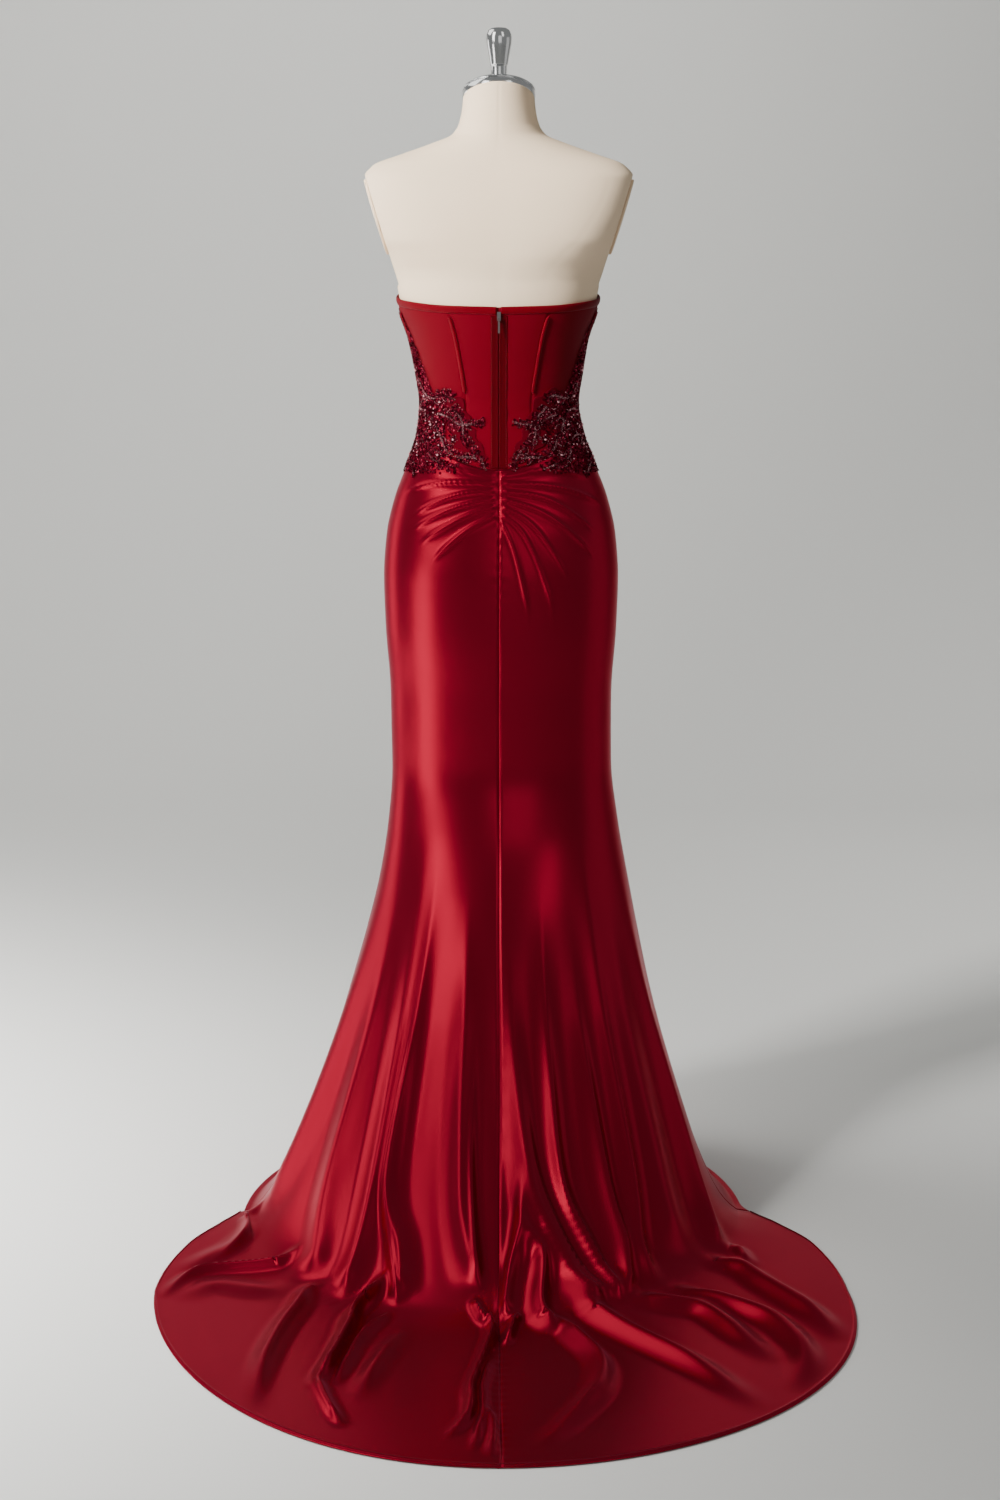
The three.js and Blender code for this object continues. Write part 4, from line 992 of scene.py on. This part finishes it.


# Painted glint: the pale end of the sequins' ramp stands for sequins that catch the light.
SEQUINS = shaded_finish(
    "sequins", (0.085, 0.002, 0.009), (0.42, 0.035, 0.075), Metallic=0.97, Roughness=0.2,
    Specular_Tint=(0.7, 0.46, 0.5, 1), Specular_IOR_Level=0.2,
)
# The beads' pale end is partly their own pinkish silver and partly a painted glint.
BEADS = shaded_finish(
    "beads", (0.11, 0.006, 0.018), (0.90, 0.48, 0.53), Metallic=0.97, Roughness=0.18,
    Specular_Tint=(0.8, 0.5, 0.55, 1), Specular_IOR_Level=0.2,
)
THREAD = shaded_finish("thread", (0.20, 0.004, 0.012), (0.32, 0.008, 0.02), Roughness=0.55)
TEETH = shaded_finish("zip_teeth", (0.10, 0.01, 0.02), (0.16, 0.02, 0.03), Roughness=0.4)
NET = cloth_finish(
    "sequin_net", (0.085, 0.0013, 0.0055), (0.055, 0.001, 0.004), 60.0, 1500.0, 0.4, Roughness=0.6,
    Specular_Tint=(1.0, 0.2, 0.25, 1), Specular_IOR_Level=0.1,
)
print("small finishes", [m.name for m in (SEQUINS, BEADS, THREAD, TEETH, NET)])

# %% [markdown]
# Top stitching holds the binding, the boning tubes and the placket, so it follows their edges.
# Each line is measured along the cloth first, and a stitch is laid at every step, turned the way
# the line runs. The teeth of the zip lie below the placket, first to one side and then to the
# other.

# %% Stitches and zip teeth
STITCH_STEP = 3.2
STITCH_SEED = 3
BINDING_SEWN = {"up": 0.9, "lift": 0.75, "from_deg": 2.5}
BONE_SEWN = {"out": 2.35, "lift": 1.3, "short": 2}
PLACKET_SEWN = {"out": 12.0, "lift": 0.5, "low": 2, "high": 3}
TOOTH_ROW = {"bottom": 1066, "top": 1250, "step": 1.25, "out": 0.22, "lift": -0.55}


def stitch_line(deg, z, lift):
    """Copies of the stitch along a line of the surface, evenly spaced."""
    line = on_surface(deg, z, np.full(deg.shape, lift))
    reach = np.concatenate([[0], np.cumsum(np.linalg.norm(np.diff(line, axis=0), axis=1))])
    at = np.arange(STITCH_STEP / 2, reach[-1], STITCH_STEP)
    d, h = np.interp(at, reach, deg), np.interp(at, reach, z)
    d_next, h_next = np.interp(at + 0.5, reach, deg), np.interp(at + 0.5, reach, z)
    spin = np.arctan2(h_next - h, (d_next - d) * mm_per_degree(d, h))
    return on_surface(d, h, np.full(d.shape, lift)), frames_at(d, h, spin)


lines = []
around = np.linspace(BINDING_SEWN["from_deg"], 360 - BINDING_SEWN["from_deg"], 500)
low_edge = top_edge(around) - BINDING["high"] + BINDING_SEWN["up"]
lines.append(stitch_line(around, low_edge, BINDING_SEWN["lift"]))
for side in (-1, 1):
    for seam, (top, bottom) in BONE_LENGTHS.items():
        for edge in (-1, 1):
            z = np.linspace(bottom + BONE_SEWN["short"], top - BONE_SEWN["short"], 40)
            deg = side * seam_deg(seam, z)
            deg = deg + edge * BONE_SEWN["out"] / mm_per_degree(deg, z)
            lines.append(stitch_line(deg, z, BONE_SEWN["lift"]))
    z = np.linspace(PLACKET["bottom"] + PLACKET_SEWN["low"], PLACKET["top"] - PLACKET_SEWN["high"], 60)
    deg = side * PLACKET_SEWN["out"] / mm_per_degree(0.0, z)
    lines.append(stitch_line(deg, z, PLACKET_SEWN["lift"]))
places, axes = (np.concatenate([line[i] for line in lines]) for i in (0, 1))
count = len(places)
shades = np.random.default_rng(STITCH_SEED).uniform(0, 1, count)
join_copies("bodice_stitches", STITCH, places, axes, np.ones(count), shades, THREAD)

z = np.arange(TOOTH_ROW["bottom"], TOOTH_ROW["top"], TOOTH_ROW["step"])
count = len(z)
deg = TOOTH_ROW["out"] * np.where(np.arange(count) % 2, 1, -1) / mm_per_degree(0.0, z)
places = on_surface(deg, z, np.full(count, TOOTH_ROW["lift"]))
axes = frames_at(deg, z, np.zeros(count))
join_copies("zip_teeth", TOOTH, places, axes, np.ones(count), np.zeros(count), TEETH)

# %% [markdown]
# The motifs are net covered with sequins: leafy sprays that run from the side seams towards the
# centre back, with blossoms on them. Bands of net follow the cloth. Vines run over the bands and
# beyond them, each with a chain of bugle beads down its middle and leaves of sequins on either
# side, and loose sequins fill the ground between the vines and go up the side seam. A band's row
# holds its scallops and then the angle, height and half width along its middle. A vine's row
# holds the length of its leaves, the width of its chain and its path, and a blossom's row its
# place and the length of its petals.

# %% Motif tables
MOTIF_LIFT = 0.9
MOTIF_WALL = 0.8
BANDS = {
    "side": (
        7,
        ((90, 1268, 5), (90, 1235, 9), (87, 1200, 17), (82, 1165, 27), (81, 1125, 31),
         (80, 1090, 33), (76, 1056, 26)),
    ),
    "back": (
        6,
        ((51, 1142, 11), (42, 1142, 14), (32, 1128, 17), (26, 1102, 17), (17, 1078, 14),
         (7, 1056, 7)),
    ),
    "front": (
        6,
        ((108, 1150, 14), (122, 1146, 18), (136, 1128, 20), (150, 1106, 16), (166, 1092, 7)),
    ),
}
VINES = (
    (15, 2.0, ((84, 1210), (76, 1176), (66, 1152), (52, 1143), (40, 1147), (30, 1141))),
    (14, 2.2, ((80, 1128), (66, 1128), (52, 1116), (44, 1096), (36, 1074), (22, 1062), (12, 1060))),
    (11, 1.6, ((46, 1122), (36, 1118), (26, 1106), (17, 1108), (8, 1111))),
    (12, 1.6, ((34, 1132), (27, 1120), (24, 1104), (21, 1086), (12, 1068), (6, 1044))),
    (13, 1.6, ((78, 1090), (66, 1092), (54, 1082), (46, 1062), (36, 1052), (24, 1046))),
    (11, 1.4, ((88, 1064), (76, 1056), (66, 1046), (58, 1036))),
    (10, 1.4,
     ((90, 1262), (91, 1240), (88, 1216), (90, 1190), (86, 1160), (88, 1130), (86, 1096), (88, 1062))),
    (12, 1.6, ((100, 1176), (98, 1150), (102, 1122), (98, 1096), (100, 1068))),
    (12, 1.6, ((96, 1150), (110, 1152), (124, 1146), (138, 1128), (150, 1108), (164, 1094))),
    (11, 1.4, ((100, 1108), (114, 1114), (126, 1104), (138, 1088), (146, 1076))),
)
BLOSSOMS = (
    (66, 1146, 8.5), (45, 1138, 7.0), (54, 1106, 8.0), (30, 1086, 6.5), (70, 1078, 8.0), (82, 1104, 7.5),
    (78, 1182, 6.5), (40, 1064, 6.0), (112, 1138, 7.5), (134, 1118, 7.0), (104, 1084, 7.0),
)
GROUND = {
    "from_deg": 30, "to_deg": 108, "step_deg": 1.25, "bottom": 1040, "top": 1262, "step": 2.6,
    "middle": 1104, "reach": 50, "fade_deg": 34, "narrow": 0.55, "widen": 0.45,
    "jitter_deg": 0.5, "jitter": 1.1, "chance": 0.4, "gain": 0.5,
}
SIDE_STRIP = {"deg": 90, "half": 12, "widening": 0.22}
PATH_STEP = 0.01
SEQUIN_ROW, ROW_SHARE = 2.2, 0.87
LEAF_ROUNDNESS, EDGE_OUT, EDGE_STEP = 0.8, 0.5, 1.9


def gather_lift(deg, z):
    """How far the gathers of the skirt stand out under a motif."""
    base = base_point(deg, z)
    height = gather_height(base, base_normal(deg, z))
    return height * smooth((waist_seam(deg) - z) / WAIST_FADE)


def motif_path(points):
    keys = np.linspace(0, 1, len(points))
    return [table_curve([(k, p[i]) for k, p in zip(keys, points)], 1) for i in range(len(points[0]))]


def motif_at(path, side, t, across):
    """Angle and height of a place on a motif: t along its middle, across in mm from it."""
    deg_at, z_at = path[:2]
    deg, z = deg_at(t), z_at(t)
    scale = mm_per_degree(deg, z)
    ahead, behind = np.minimum(t + PATH_STEP, 1), np.maximum(t - PATH_STEP, 0)
    step_deg = (deg_at(ahead) - deg_at(behind)) * scale
    step_z = z_at(ahead) - z_at(behind)
    length = np.hypot(step_deg, step_z)
    return side * (deg - across * step_z / length / scale), z + across * step_deg / length


def path_length(path):
    t = np.linspace(0, 1, 80)
    line = base_point(path[0](t), path[1](t))
    return float(np.linalg.norm(np.diff(line, axis=0), axis=1).sum())


def leaf_fill(length, wide):
    """Rows of sequins inside a pointed leaf that lies along x, and small beads on its edge."""
    along = SEQUIN_ROW * ROW_SHARE
    xs, ys = np.meshgrid(
        np.arange(SEQUIN_ROW / 2, length, along), np.arange(-wide, wide + 0.1, SEQUIN_ROW))
    ys = ys + np.where(np.round(xs / along - 0.5) % 2 > 0, SEQUIN_ROW / 2, 0)
    half = wide * np.sin(np.pi * np.clip(xs / length, 0, 1)) ** LEAF_ROUNDNESS
    inside = np.abs(ys) < half
    t = np.linspace(0.1, 1, max(3, int(length / EDGE_STEP)))
    edge = np.stack([t * length, wide * np.sin(np.pi * t) ** LEAF_ROUNDNESS + EDGE_OUT], 1)
    return np.stack([xs[inside], ys[inside]], 1), edge


print("vines", len(VINES), "blossoms", len(BLOSSOMS), "sequins in a leaf", len(leaf_fill(14, 4)[0]))

# %% [markdown]
# The net is what a maker sews on first. Each band is a grid along its own middle line, with a
# scalloped edge, lifted over the gathers that it crosses, and it replaces one packed motif.

# %% Bands of net
SCALLOP = 0.16


def band_of_net(kind, side, word):
    lobes, points = BANDS[kind]
    path = motif_path(points)
    mesh, u, v = grid_mesh(f"net_{kind}_{word}", 24, 120, flip=side < 0)
    half = path[2](v) * (1 + SCALLOP * np.sin(2 * np.pi * lobes * v))
    deg, z = motif_at(path, side, v, (2 * u - 1) * half)
    set_points(mesh, on_surface(deg, z, MOTIF_LIFT + gather_lift(deg, z)))
    face_outwards(mesh)
    net = add_piece(f"net_{kind}_{word}", mesh, NET, (f"applique_{kind}_{word}",))
    thicken(net, MOTIF_WALL)


for side, word in ((-1, "left"), (1, "right")):
    for kind in BANDS:
        band_of_net(kind, side, word)

# %% [markdown]
# Sequins and beads are thousands of loose shells, so their places are worked out as clouds of
# points. A leaf or a petal is one cloud, laid along its vine or round its blossom by a random
# but fixed draw. What would stand over the top edge or on the zip is left out, and the copies
# are then made in one go for each kind of bead.

# %% Sequins and beads
LEAF = {
    "from": 0.02, "to": 0.97, "step": 0.62, "slant": (30, 58), "size": (0.8, 1.2), "dwindle": 0.35,
    "wide": 0.27, "width": (0.85, 1.15), "beaded": 0.4,
}
CHAIN = {"step": 1.5, "wave": 1.1, "wave_length": 8, "half": 0.4, "tilt": 0.9}
PETALS, PETAL_WIDE = 5, 0.36
LOOSE_BEADS, LOOSE_SPAN, LOOSE_FROM = 26, (52, 84), (40, 1052)
ABOVE_NET = {"sequins": 0.4, "beads": 0.9, "bugles": 1.2, "round_beads": 1.6}
ZIP_CLEAR_DEG = 4
SPRAY_SEED = 20
SPIN_MOST = 6.28
SEQUIN_LOOK = {"size": 1.45, "vary": (0.8, 1.2), "tilt": 0.24, "lift": 0.5, "dark": 5}
BEAD_LOOK = {"size": 0.8, "vary": (0.8, 1.15), "dark": 2}
BUGLE_LOOK = {"size": (0.5, 0.75), "tilt": 0.3}
# Patches of painted glint along the bugle chains.
BUGLE_GLINT_PATCHES = {"middle": 0.55, "swing": 0.7, "wave": 6.3, "wave_deg": 5.7}
ROUND_BEAD_LOOK = {"blossom": 2.0, "loose": 1.3, "tone_and_glint": 0.9}


def turned_cloud(cloud, angle):
    """The two coordinates of a cloud of points, turned by an angle."""
    x, y = cloud.T
    return x * math.cos(angle) - y * math.sin(angle), x * math.sin(angle) + y * math.cos(angle)


def place_cloud(path, side, t, length, cloud, slant, way):
    """Points of a leaf, turned by slant from its vine and laid on the cloth."""
    along, across = turned_cloud(cloud, slant)
    return motif_at(path, side, np.clip(t + along / length, 0, 1), way * across)


def vine_leaves(path, side, leaf, length, rng, sequins, beads):
    for t in np.arange(LEAF["from"], LEAF["to"], LEAF["step"] * leaf / length):
        for way in (-1, 1):
            slant = math.radians(rng.uniform(*LEAF["slant"]))
            size = leaf * rng.uniform(*LEAF["size"]) * (1 - LEAF["dwindle"] * t)
            fill, edge = leaf_fill(size, LEAF["wide"] * size * rng.uniform(*LEAF["width"]))
            sequins.append(place_cloud(path, side, t, length, fill, slant, way))
            if rng.uniform() < LEAF["beaded"]:
                beads.append(place_cloud(path, side, t, length, edge, slant, way))


def vine_chain(path, side, chain, length, bugles):
    t = np.arange(0, 1, CHAIN["step"] / length)
    wave = CHAIN["wave"] * np.sin(t * length / CHAIN["wave_length"])
    d_next, h_next = motif_at(path, side, np.minimum(t + PATH_STEP, 1), wave)
    d_here, h_here = motif_at(path, side, np.minimum(t, 1 - PATH_STEP), wave)
    spin = np.arctan2(h_next - h_here, (d_next - d_here) * mm_per_degree(d_here, h_here))
    for way in (-1, 1):
        deg, z = motif_at(path, side, t, wave + way * CHAIN["half"] * chain)
        bugles.append((deg, z, spin - way * CHAIN["tilt"] * side))


def blossom_petals(side, rng, sequins, beads):
    for deg, z, petal in BLOSSOMS:
        scale = float(mm_per_degree(float(deg), float(z)))
        fill, edge = leaf_fill(petal, petal * PETAL_WIDE)
        for turn in np.arange(0, 2 * math.pi, 2 * math.pi / PETALS) + rng.uniform(0, 1):
            for cloud, into in ((fill, sequins), (edge, beads)):
                x, y = turned_cloud(cloud, turn)
                into.append((side * (deg + x / scale), z + y))


def ground_sequins(side, rng, sequins):
    degs, heights = np.meshgrid(
        np.arange(GROUND["from_deg"], GROUND["to_deg"], GROUND["step_deg"]),
        np.arange(GROUND["bottom"], GROUND["top"], GROUND["step"]))
    shake_deg, shake = GROUND["jitter_deg"], GROUND["jitter"]
    degs = (degs + rng.uniform(-shake_deg, shake_deg, degs.shape)).ravel()
    heights = (heights + rng.uniform(-shake, shake, heights.shape)).ravel()
    fade = smooth((degs - GROUND["from_deg"]) / GROUND["fade_deg"])
    reach = GROUND["reach"] * (GROUND["narrow"] + GROUND["widen"] * fade)
    room = np.abs(heights - GROUND["middle"]) < reach
    strip_half = SIDE_STRIP["half"] + SIDE_STRIP["widening"] * (GROUND["top"] - heights)
    room = room | (np.abs(degs - SIDE_STRIP["deg"]) < strip_half)
    keep = room & (rng.uniform(0, 1, degs.shape) < GROUND["chance"] + GROUND["gain"] * fade)
    sequins.append((side * degs[keep], heights[keep]))


def sew_on(name, shape, deg, z, above, axes, sizes, shades, material):
    places = on_surface(deg, z, MOTIF_LIFT + above + gather_lift(deg, z))
    join_copies(name, shape, places, axes, sizes, shades, material)


def gathered(parts):
    """One array for each coordinate of all the parts."""
    return [np.concatenate(values) for values in zip(*parts)]


def spray(side, word, seed):
    rng = np.random.default_rng(seed)
    sequins, beads, bugles = [], [], []
    for leaf, chain, points in VINES:
        path = motif_path(points)
        length = path_length(path)
        vine_leaves(path, side, leaf, length, rng, sequins, beads)
        vine_chain(path, side, chain, length, bugles)
    blossom_petals(side, rng, sequins, beads)
    ground_sequins(side, rng, sequins)

    deg, z = gathered(sequins)
    keep = (z < top_edge(deg) - 1) & (np.abs(deg) > ZIP_CLEAR_DEG)
    deg, z = deg[keep], z[keep]
    count = len(deg)
    above = ABOVE_NET["sequins"] + rng.uniform(0, SEQUIN_LOOK["lift"], count)
    axes = frames_at(deg, z, rng.uniform(0, SPIN_MOST, count), SEQUIN_LOOK["tilt"], rng)
    sizes = SEQUIN_LOOK["size"] * rng.uniform(*SEQUIN_LOOK["vary"], count)
    shades = rng.uniform(0, 1, count) ** SEQUIN_LOOK["dark"]
    sew_on(f"sequins_{word}", SEQUIN, deg, z, above, axes, sizes, shades, SEQUINS)

    deg, z = gathered(beads)
    count = len(deg)
    axes = frames_at(deg, z, np.zeros(count))
    sizes = BEAD_LOOK["size"] * rng.uniform(*BEAD_LOOK["vary"], count)
    shades = rng.uniform(0, 1, count) ** BEAD_LOOK["dark"]
    sew_on(f"beads_{word}", BEAD, deg, z, ABOVE_NET["beads"], axes, sizes, shades, BEADS)

    deg, z, spin = gathered(bugles)
    count = len(deg)
    axes = frames_at(deg, z, spin, BUGLE_LOOK["tilt"], rng)
    sizes = rng.uniform(*BUGLE_LOOK["size"], count)
    # The chains brighten and darken in patches along their length: painted glints.
    glint_patch = np.sin(z / BUGLE_GLINT_PATCHES["wave"] + deg / BUGLE_GLINT_PATCHES["wave_deg"])
    glint_patch = smooth(BUGLE_GLINT_PATCHES["middle"] + BUGLE_GLINT_PATCHES["swing"] * glint_patch)
    shades = rng.uniform(0, 1, count) * glint_patch
    sew_on(f"bugle_chains_{word}", BUGLE, deg, z, ABOVE_NET["bugles"], axes, sizes, shades, BEADS)

    blossoms = np.array(BLOSSOMS)[:, :2]
    loose = rng.uniform(0, 1, (LOOSE_BEADS, 2)) * LOOSE_SPAN + LOOSE_FROM
    deg, z = np.concatenate([blossoms, loose]).T
    deg = side * deg
    count = len(deg)
    axes = frames_at(deg, z, np.zeros(count))
    on_blossom = np.arange(count) < len(blossoms)
    sizes = np.where(on_blossom, ROUND_BEAD_LOOK["blossom"], ROUND_BEAD_LOOK["loose"])
    shades = np.full(count, ROUND_BEAD_LOOK["tone_and_glint"])
    above = ABOVE_NET["round_beads"]
    sew_on(f"round_beads_{word}", ROUND_BEAD, deg, z, above, axes, sizes, shades, BEADS)


for side, word in ((-1, "left"), (1, "right")):
    spray(side, word, SPRAY_SEED + side)

# %% [markdown]
# The form is papier mache under a stretched jersey cover. Its torso is one grid rolled into a
# tube and merged where its ends meet, cut flat at the armholes, with a seam down the back, two
# curved ones over the shoulder blades and one round the neck. Inside the dress it lies just
# under the cloth.

# %% Form torso
FORM_INSET = 3.7
FORM_SECTIONS = (
    (1316, 148.5, 98, 111, 2.2), (1341, 157, 101, 106, 2.6), (1362, 168, 101, 101, 3),
    (1405, 184, 96, 90, 3), (1445, 190, 84, 72, 3), (1465, 176, 74, 62, 2.6),
    (1480, 137, 66, 56, 2.2), (1494, 97, 60, 52, 2.1), (1507, 66, 57, 50, 2),
    (1522, 56, 55, 49, 2), (1538, 52, 54, 48, 2), (1555, 50, 54, 48, 2),
)
NECK_TOP, NECK_SLOPE, NECK_START, NECK_SPAN = 1555, 0.38, 1505, 50
FORM_BOTTOM = 760
ARM_PLATE = {"high": 108, "deep": 84, "thick": 4, "top": (186, 1448), "low": (153, 1341), "y": -8}
FORM_STEPS = ((0, FORM_BOTTOM), (0.16, 1240), (0.62, 1450), (0.86, 1512), (1, NECK_TOP))


INSIDE_TOP, INSIDE_STEP, INSIDE_SQUARE = 1310, 16, 2.2
TORSO_GRID = (200, 150)
PRINCESS = {"back_deg": 24, "spread_deg": 22, "from_z": 1290, "span": 170, "top": 1470}
MM_PER_DEG = 2.6
GROOVE = {"princess": 0.55, "centre": 0.55, "neck": 0.5}
GROOVE_HALF = {"princess": 1.6, "centre": 1.3, "neck": 1.4}
NECK_SEAM_Z = 1517
ARM_FLAT_FROM = 1300
MERGE = 0.00002


def form_rows():
    """Rings of the torso: under the dress they follow it, above it they have a table."""
    for z in range(FORM_BOTTOM, INSIDE_TOP, INSIDE_STEP):
        size = {name: float(curve(float(z))) for name, curve in dress.items()}
        half, back, front = (size[side] - FORM_INSET for side in ("half", "back", "front"))
        yield (z, half, back, front, INSIDE_SQUARE, size["mid"], size["lean"])
    for row in FORM_SECTIONS:
        yield (*row, 0, 0)


def groove(part, distance):
    return GROOVE[part] * np.exp(-((distance / GROOVE_HALF[part]) ** 2))


form_table = list(form_rows())
FORM_COLUMNS = ("half", "back", "front", "square", "mid", "lean")
form = {name: table_curve(form_table, i + 1) for i, name in enumerate(FORM_COLUMNS)}
plate_top, plate_low = np.array(ARM_PLATE["top"]), np.array(ARM_PLATE["low"])
plate_tilt = math.atan2(*(plate_top - plate_low))
plate_centre = (plate_top + plate_low) / 2
plate_normal = np.array([math.cos(plate_tilt), -math.sin(plate_tilt)])

mesh, u, v = grid_mesh("jersey_torso", *TORSO_GRID)
z = np.interp(v, *np.array(FORM_STEPS, float).T)
deg = 360 * u
x, y = section(deg, {name: curve(z) for name, curve in form.items()}, form["square"](z))
seam_at = PRINCESS["back_deg"] + PRINCESS["spread_deg"] * smooth((z - PRINCESS["from_z"]) / PRINCESS["span"])
depth = groove("princess", (from_back(deg) - seam_at) * MM_PER_DEG) * (z < PRINCESS["top"])
depth += groove("centre", x) * (from_back(deg) < 90)
depth += groove("neck", z - NECK_SEAM_Z)
shrink = 1 - depth / np.hypot(x, y)
dip = NECK_SLOPE * y * smooth((z - NECK_START) / NECK_SPAN)
points = np.stack([x * shrink, y * shrink, z - dip], 1)
for side in (-1, 1):
    offset = np.stack([side * points[:, 0] - plate_centre[0], points[:, 2] - plate_centre[1]], 1)
    beyond = np.clip(offset @ plate_normal, 0, None) * (points[:, 2] > ARM_FLAT_FROM)
    points[:, 0] -= side * beyond * plate_normal[0]
    points[:, 2] -= beyond * plate_normal[1]
set_points(mesh, points)
bm = bmesh.new()
bm.from_mesh(mesh)
bmesh.ops.remove_doubles(bm, verts=bm.verts, dist=MERGE)
bmesh.ops.holes_fill(bm, edges=[edge for edge in bm.edges if edge.is_boundary], sides=0)
bmesh.ops.recalc_face_normals(bm, faces=bm.faces)
bm.to_mesh(mesh)
bm.free()
add_piece("jersey_torso", mesh, JERSEY, ("form_torso",))
print("torso faces", len(mesh.polygons))

# %% [markdown]
# The arm plates are ovals covered in the same jersey, with a soft edge. The cap and its knob
# are turned pieces: a profile spun round the axis, with its corners bevelled so that the chrome
# catches a line of light.

# %% Arm plates, cap and knob
SEAT_GAP = 0.3
PLATE_EDGE = {"width": 1.4, "segments": 4, "sharp": 0.5}
CAP_EDGE = {"width": 0.5, "segments": 2, "sharp": 0.35}
KNOB_EDGE = {"width": 0.8, "segments": 3, "sharp": 0.3}
CAP_HIGH = 15
CAP_PROFILE = (
    (0, 0), (50, 0), (51, 2), (51, 9), (50.2, 9.6), (50.2, 10.6), (51, 11.2), (51, 12.6), (48.5, 15),
    (0, 15),
)
KNOB_TOP, KNOB_FOOT = 1653, 3.5
KNOB_PROFILE = (
    (0, 0), (13.5, 0), (13.5, 3), (11, 5), (11, 28), (12.5, 31), (14.5, 44), (17, 56), (18, 66),
    (17.5, 71), (15, 77), (10.5, 80), (0, 81),
)


def soften(bm, width, segments, sharp):
    edges = [e for e in bm.edges if len(e.link_faces) == 2 and e.calc_face_angle(0) > sharp]
    bmesh.ops.bevel(
        bm, geom=edges, offset=width, offset_type="OFFSET", segments=segments, profile=0.5,
        affect="EDGES", material=-1,
    )


def shift(bm, x, y, z):
    bmesh.ops.translate(bm, verts=bm.verts, vec=(x, y, z))


def turn_about(bm, angle, axis):
    bmesh.ops.rotate(bm, verts=bm.verts, cent=(0, 0, 0), matrix=Matrix.Rotation(angle, 3, axis))


def finish_mesh(name, bm, material, nodes):
    bmesh.ops.recalc_face_normals(bm, faces=bm.faces)
    bmesh.ops.scale(bm, verts=bm.verts, vec=(MM, MM, MM))
    mesh = bpy.data.meshes.new(name)
    bm.to_mesh(mesh)
    bm.free()
    return add_piece(name, mesh, material, nodes)


for side, word in ((-1, "left"), (1, "right")):
    bm = bmesh.new()
    bmesh.ops.create_cone(
        bm, cap_ends=True, cap_tris=False, segments=96, radius1=0.5, radius2=0.5,
        depth=ARM_PLATE["thick"], matrix=Matrix.Rotation(math.pi / 2, 4, "Y"))
    bmesh.ops.scale(bm, verts=bm.verts, vec=(1, ARM_PLATE["deep"], ARM_PLATE["high"]))
    soften(bm, **PLATE_EDGE)
    shift(bm, SEAT_GAP + ARM_PLATE["thick"] / 2, 0, 0)
    turn_about(bm, plate_tilt, "Y")
    if side < 0:
        turn_about(bm, math.pi, "Z")
    shift(bm, side * plate_centre[0], ARM_PLATE["y"], plate_centre[1])
    finish_mesh(f"jersey_plate_{word}", bm, JERSEY, (f"arm_plate_{word}",))


def spun(profile, steps):
    bm = bmesh.new()
    verts = [bm.verts.new((radius, 0, height)) for radius, height in profile]
    edges = [bm.edges.new(pair) for pair in zip(verts, verts[1:])]
    bmesh.ops.spin(
        bm, geom=verts + edges, cent=(0, 0, 0), axis=(0, 0, 1), angle=2 * math.pi, steps=steps,
        use_merge=True)
    bmesh.ops.remove_doubles(bm, verts=bm.verts, dist=0.001)
    bmesh.ops.recalc_face_normals(bm, faces=bm.faces)
    return bm


neck_tilt = math.atan(NECK_SLOPE)
bm = spun(CAP_PROFILE, 96)
soften(bm, **CAP_EDGE)
shift(bm, 0, 0, SEAT_GAP)
turn_about(bm, -neck_tilt, "X")
shift(bm, 0, 0, NECK_TOP)
finish_mesh("chrome_cap", bm, CHROME, ("neck_cap",))

cap_top = NECK_TOP + (CAP_HIGH + 2 * SEAT_GAP) / math.cos(neck_tilt)
bm = spun(KNOB_PROFILE, 72)
soften(bm, **KNOB_EDGE)
knob_high = max(vert.co.z for vert in bm.verts)
bmesh.ops.scale(bm, verts=bm.verts, vec=(1, 1, (KNOB_TOP - cap_top) / knob_high))
shift(bm, 0, 0, cap_top)
for vert in bm.verts:
    if vert.co.z < cap_top + KNOB_FOOT:
        vert.co.z -= NECK_SLOPE * vert.co.y
finish_mesh("chrome_knob", bm, CHROME, ("cap_knob",))
print("neck cap at", NECK_TOP, "mm, top of the knob at", KNOB_TOP, "mm")

# %% [markdown]
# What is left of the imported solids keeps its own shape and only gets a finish: the painted
# stand under the skirt, and the slider and pull tab of the zip.

# %% Finishes of the kept solids
for name, material in (
    ("stand_base", PAINT), ("stand_pole", PAINT), ("zip_slider", NICKEL), ("zip_pull", NICKEL),
):
    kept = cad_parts[name]
    for place in kept.material_slots:
        place.material = material
    print(name, "gets", material.name)
